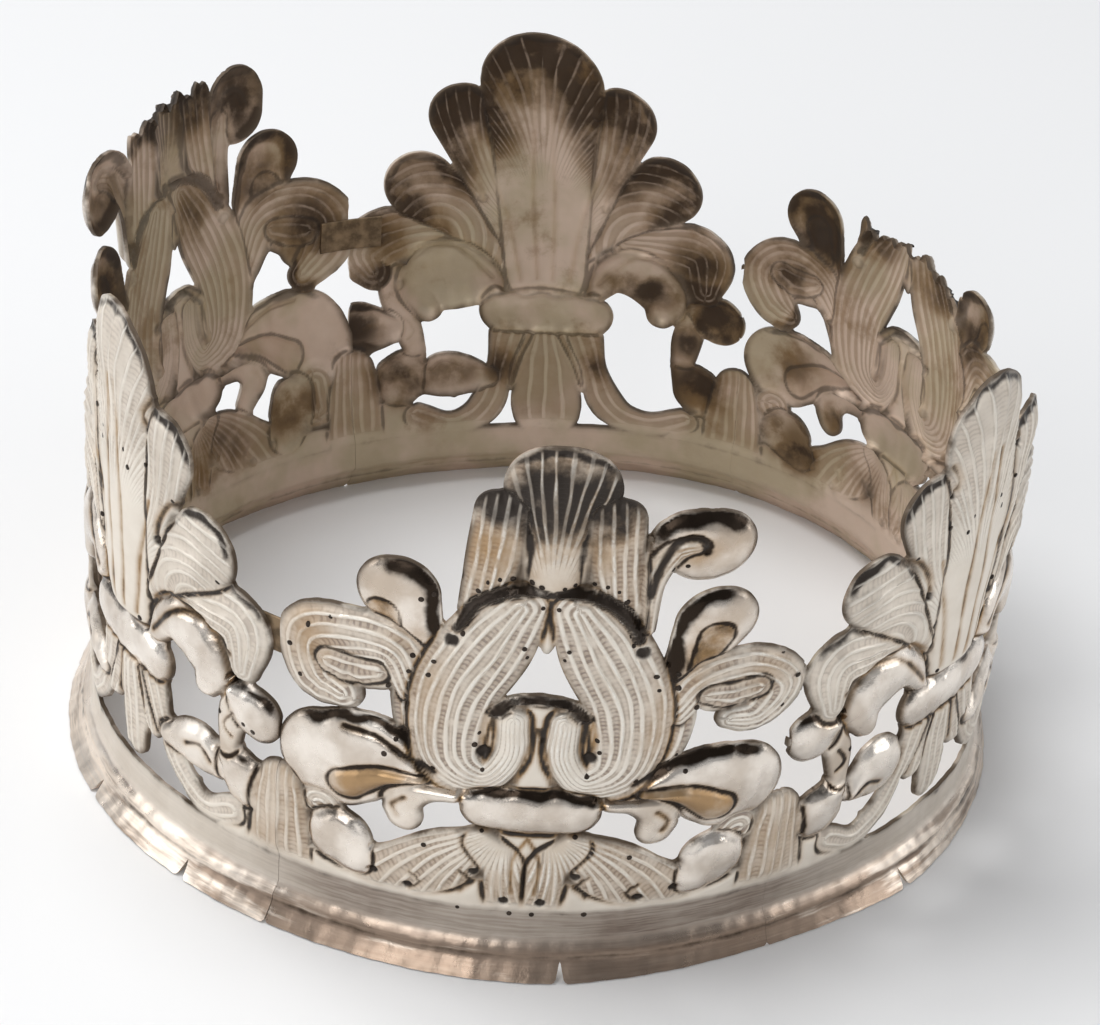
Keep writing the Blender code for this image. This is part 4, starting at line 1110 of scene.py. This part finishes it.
def makeDots(sheet, tree, sizes, material):
    angle, height = dotPlaces(sheet)
    step = punch["step"]
    stepTurn = step / wallRadius

    def outer(turn, rise):
        return surfacePoint(turn, rise, chase(sheet, turn, rise)[0] + crown["sheetThickness"] / 2)

    middle = outer(angle, height)
    sideways = outer(angle + stepTurn, height) - outer(angle - stepTurn, height)
    upwards = outer(angle, height + step) - outer(angle, height - step)
    outward = np.cross(sideways, upwards)
    outward /= np.linalg.norm(outward, axis=1)[:, None]
    name = sheet.replace("sheet_", "dots_")
    mesh = bpy.data.meshes.new(name)
    mesh.from_pydata(middle.tolist(), [], [])
    facing = mesh.attributes.new("outward", "FLOAT_VECTOR", "POINT")
    facing.data.foreach_set("vector", outward.astype(np.float32).ravel())
    item = addItem(name, mesh)
    runTree(item, tree, sizes, material)
    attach(item, "root")
    print(name, len(middle), "dots")


dotMetal = duskMaterial("duskMetal", punch["color"], punch["roughness"])
dots, dotSizes = dotTree()
for sheet in sheets:
    makeDots(sheet, dots, dotSizes, dotMetal)
print("dots punched")


# ---- straps behind the lobes
straps = {
    "places": {"strap_left": -30.3, "strap_right": 92.5, "strap_back": 210.7},
    "width": 0.0095,
    "height": 0.0052,
    "thickness": 0.0005,
    "middleHeight": 0.0447,
    "clearance": 0.0003,
    "cornerShare": 0.4,
    "color": (0.25, 0.175, 0.105, 1),
    "roughness": 0.45,
}


def strapTree():
    sizes = {"Height": straps["height"], "Thickness": straps["thickness"]}
    make, source, result = treeWith("strapSweep", sizes)
    line = make.node("GeometryNodeMeshToCurve", "Curve", {"Mesh": source["Geometry"]})
    upright = make.node("GeometryNodeSetCurveNormal", "Curve", {"Curve": line}, mode="Z_UP")
    section = make.node("GeometryNodeCurvePrimitiveQuadrilateral", "Curve", {
        "Width": source["Thickness"], "Height": source["Height"]})
    rounded = make.node("GeometryNodeFilletCurve", "Curve", {
        "Curve": section, "Count": 3, "Radius": straps["cornerShare"] * straps["thickness"]}, mode="POLY")
    sweep = make.node("GeometryNodeCurveToMesh", "Mesh", {
        "Curve": upright, "Profile Curve": rounded, "Fill Caps": True})
    whole = make.node("GeometryNodeRealizeInstances", "Geometry", {"Geometry": sweep})
    closeTree(make, source, result, whole)
    return make.tree, sizes


def makeStrap(node, degrees, tree, sizes, material):
    columns = np.linspace(-0.5, 0.5, 25) * straps["width"]
    angle = math.radians(degrees) + columns / wallRadius
    behind = -0.5 * crown["sheetThickness"] - straps["clearance"] - 0.5 * straps["thickness"]
    path = surfacePoint(angle, np.full_like(angle, straps["middleHeight"]), behind)
    name = node.replace("_", "") + "Plate"
    mesh = bpy.data.meshes.new(name)
    mesh.from_pydata(path.tolist(), [(step, step + 1) for step in range(len(path) - 1)], [])
    item = addItem(name, mesh)
    runTree(item, tree, sizes, material)
    item.data.set_sharp_from_angle(angle=math.radians(50))
    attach(item, "root")
    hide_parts(node)


strapMetal = duskMaterial("strapMetal", straps["color"], straps["roughness"])
sweep, strapSizes = strapTree()
for node, degrees in straps["places"].items():
    makeStrap(node, degrees, sweep, strapSizes, strapMetal)
print("straps in place")


# ---- floor, light and camera
studio = {
    "floor": (4, 4, 6, 0.0002),  # metres to the sides, to the front, to the back and down
    "floorColor": (0.82, 0.82, 0.82, 1),
    "sky": (0.92, 0.95, 1.0, 1),
    "skyStrength": 0.35,
    # name: place, size, power
    "lights": {
        "topLight": ((-0.35, 0.15, 1.1), 0.8, 9.5),
        "frontLight": ((-0.5, -1.1, 0.7), 0.8, 5.0),
        "leftLight": ((-1.2, -0.2, 0.35), 0.8, 3.0),
        "rightLight": ((1.2, -0.2, 0.4), 0.8, 3.2),
    },
    "lightAim": (0, 0, 0.03),
    "focal": 119.6,
    "elevation": 0.5981,
    "distance": 8.4873,
    "aimUp": 0.0502,
    "roll": 0.0742,
}

side, front, back, down = studio["floor"]
floorMesh = bpy.data.meshes.new("floor")
corners = [(-side, -front, -down), (side, -front, -down), (side, back, -down), (-side, back, -down)]
floorMesh.from_pydata(corners, [], [(0, 1, 2, 3)])
floorItem = addItem("floor", floorMesh)
floorPaint, floorShader, _ = newMaterial("floorPaint")
floorShader.inputs["Base Color"].default_value = studio["floorColor"]
floorShader.inputs["Roughness"].default_value = 0.8
floorMesh.materials.append(floorPaint)

bpy.context.scene.view_settings.view_transform = "Standard"
world = bpy.data.worlds.new("studioSky")
world.use_nodes = True
sky = world.node_tree.nodes["Background"]
sky.inputs["Color"].default_value = studio["sky"]
sky.inputs["Strength"].default_value = studio["skyStrength"]
bpy.context.scene.world = world

for name, (place, size, power) in studio["lights"].items():
    lamp = bpy.data.lights.new(name, "AREA")
    lamp.shape = "DISK"
    lamp.size = size
    lamp.energy = power
    item = addItem(name, lamp)
    item.location = place
    item.rotation_euler = (Vector(studio["lightAim"]) - Vector(place)).to_track_quat("-Z", "Y").to_euler()

lens = bpy.data.cameras.new("camera")
lens.sensor_fit = "HORIZONTAL"
lens.sensor_width = 36
lens.lens = studio["focal"]
lens.clip_start = 0.01
eye = addItem("camera", lens)
away = studio["distance"] * wallRadius
pitch = studio["elevation"] - studio["aimUp"]
forward = Vector((0, math.cos(pitch), -math.sin(pitch)))
rightward = Vector((1, 0, 0))
upward = rightward.cross(forward)
rolledRight = math.cos(studio["roll"]) * rightward + math.sin(studio["roll"]) * upward
rolledUp = -math.sin(studio["roll"]) * rightward + math.cos(studio["roll"]) * upward
turned = Matrix((rolledRight, rolledUp, -forward)).transposed().to_4x4()
place = Vector((crown["axis"][0], crown["axis"][1] - away * math.cos(studio["elevation"]),
                away * math.sin(studio["elevation"])))
eye.matrix_world = Matrix.Translation(place) @ turned
bpy.context.scene.camera = eye
print("studio set")
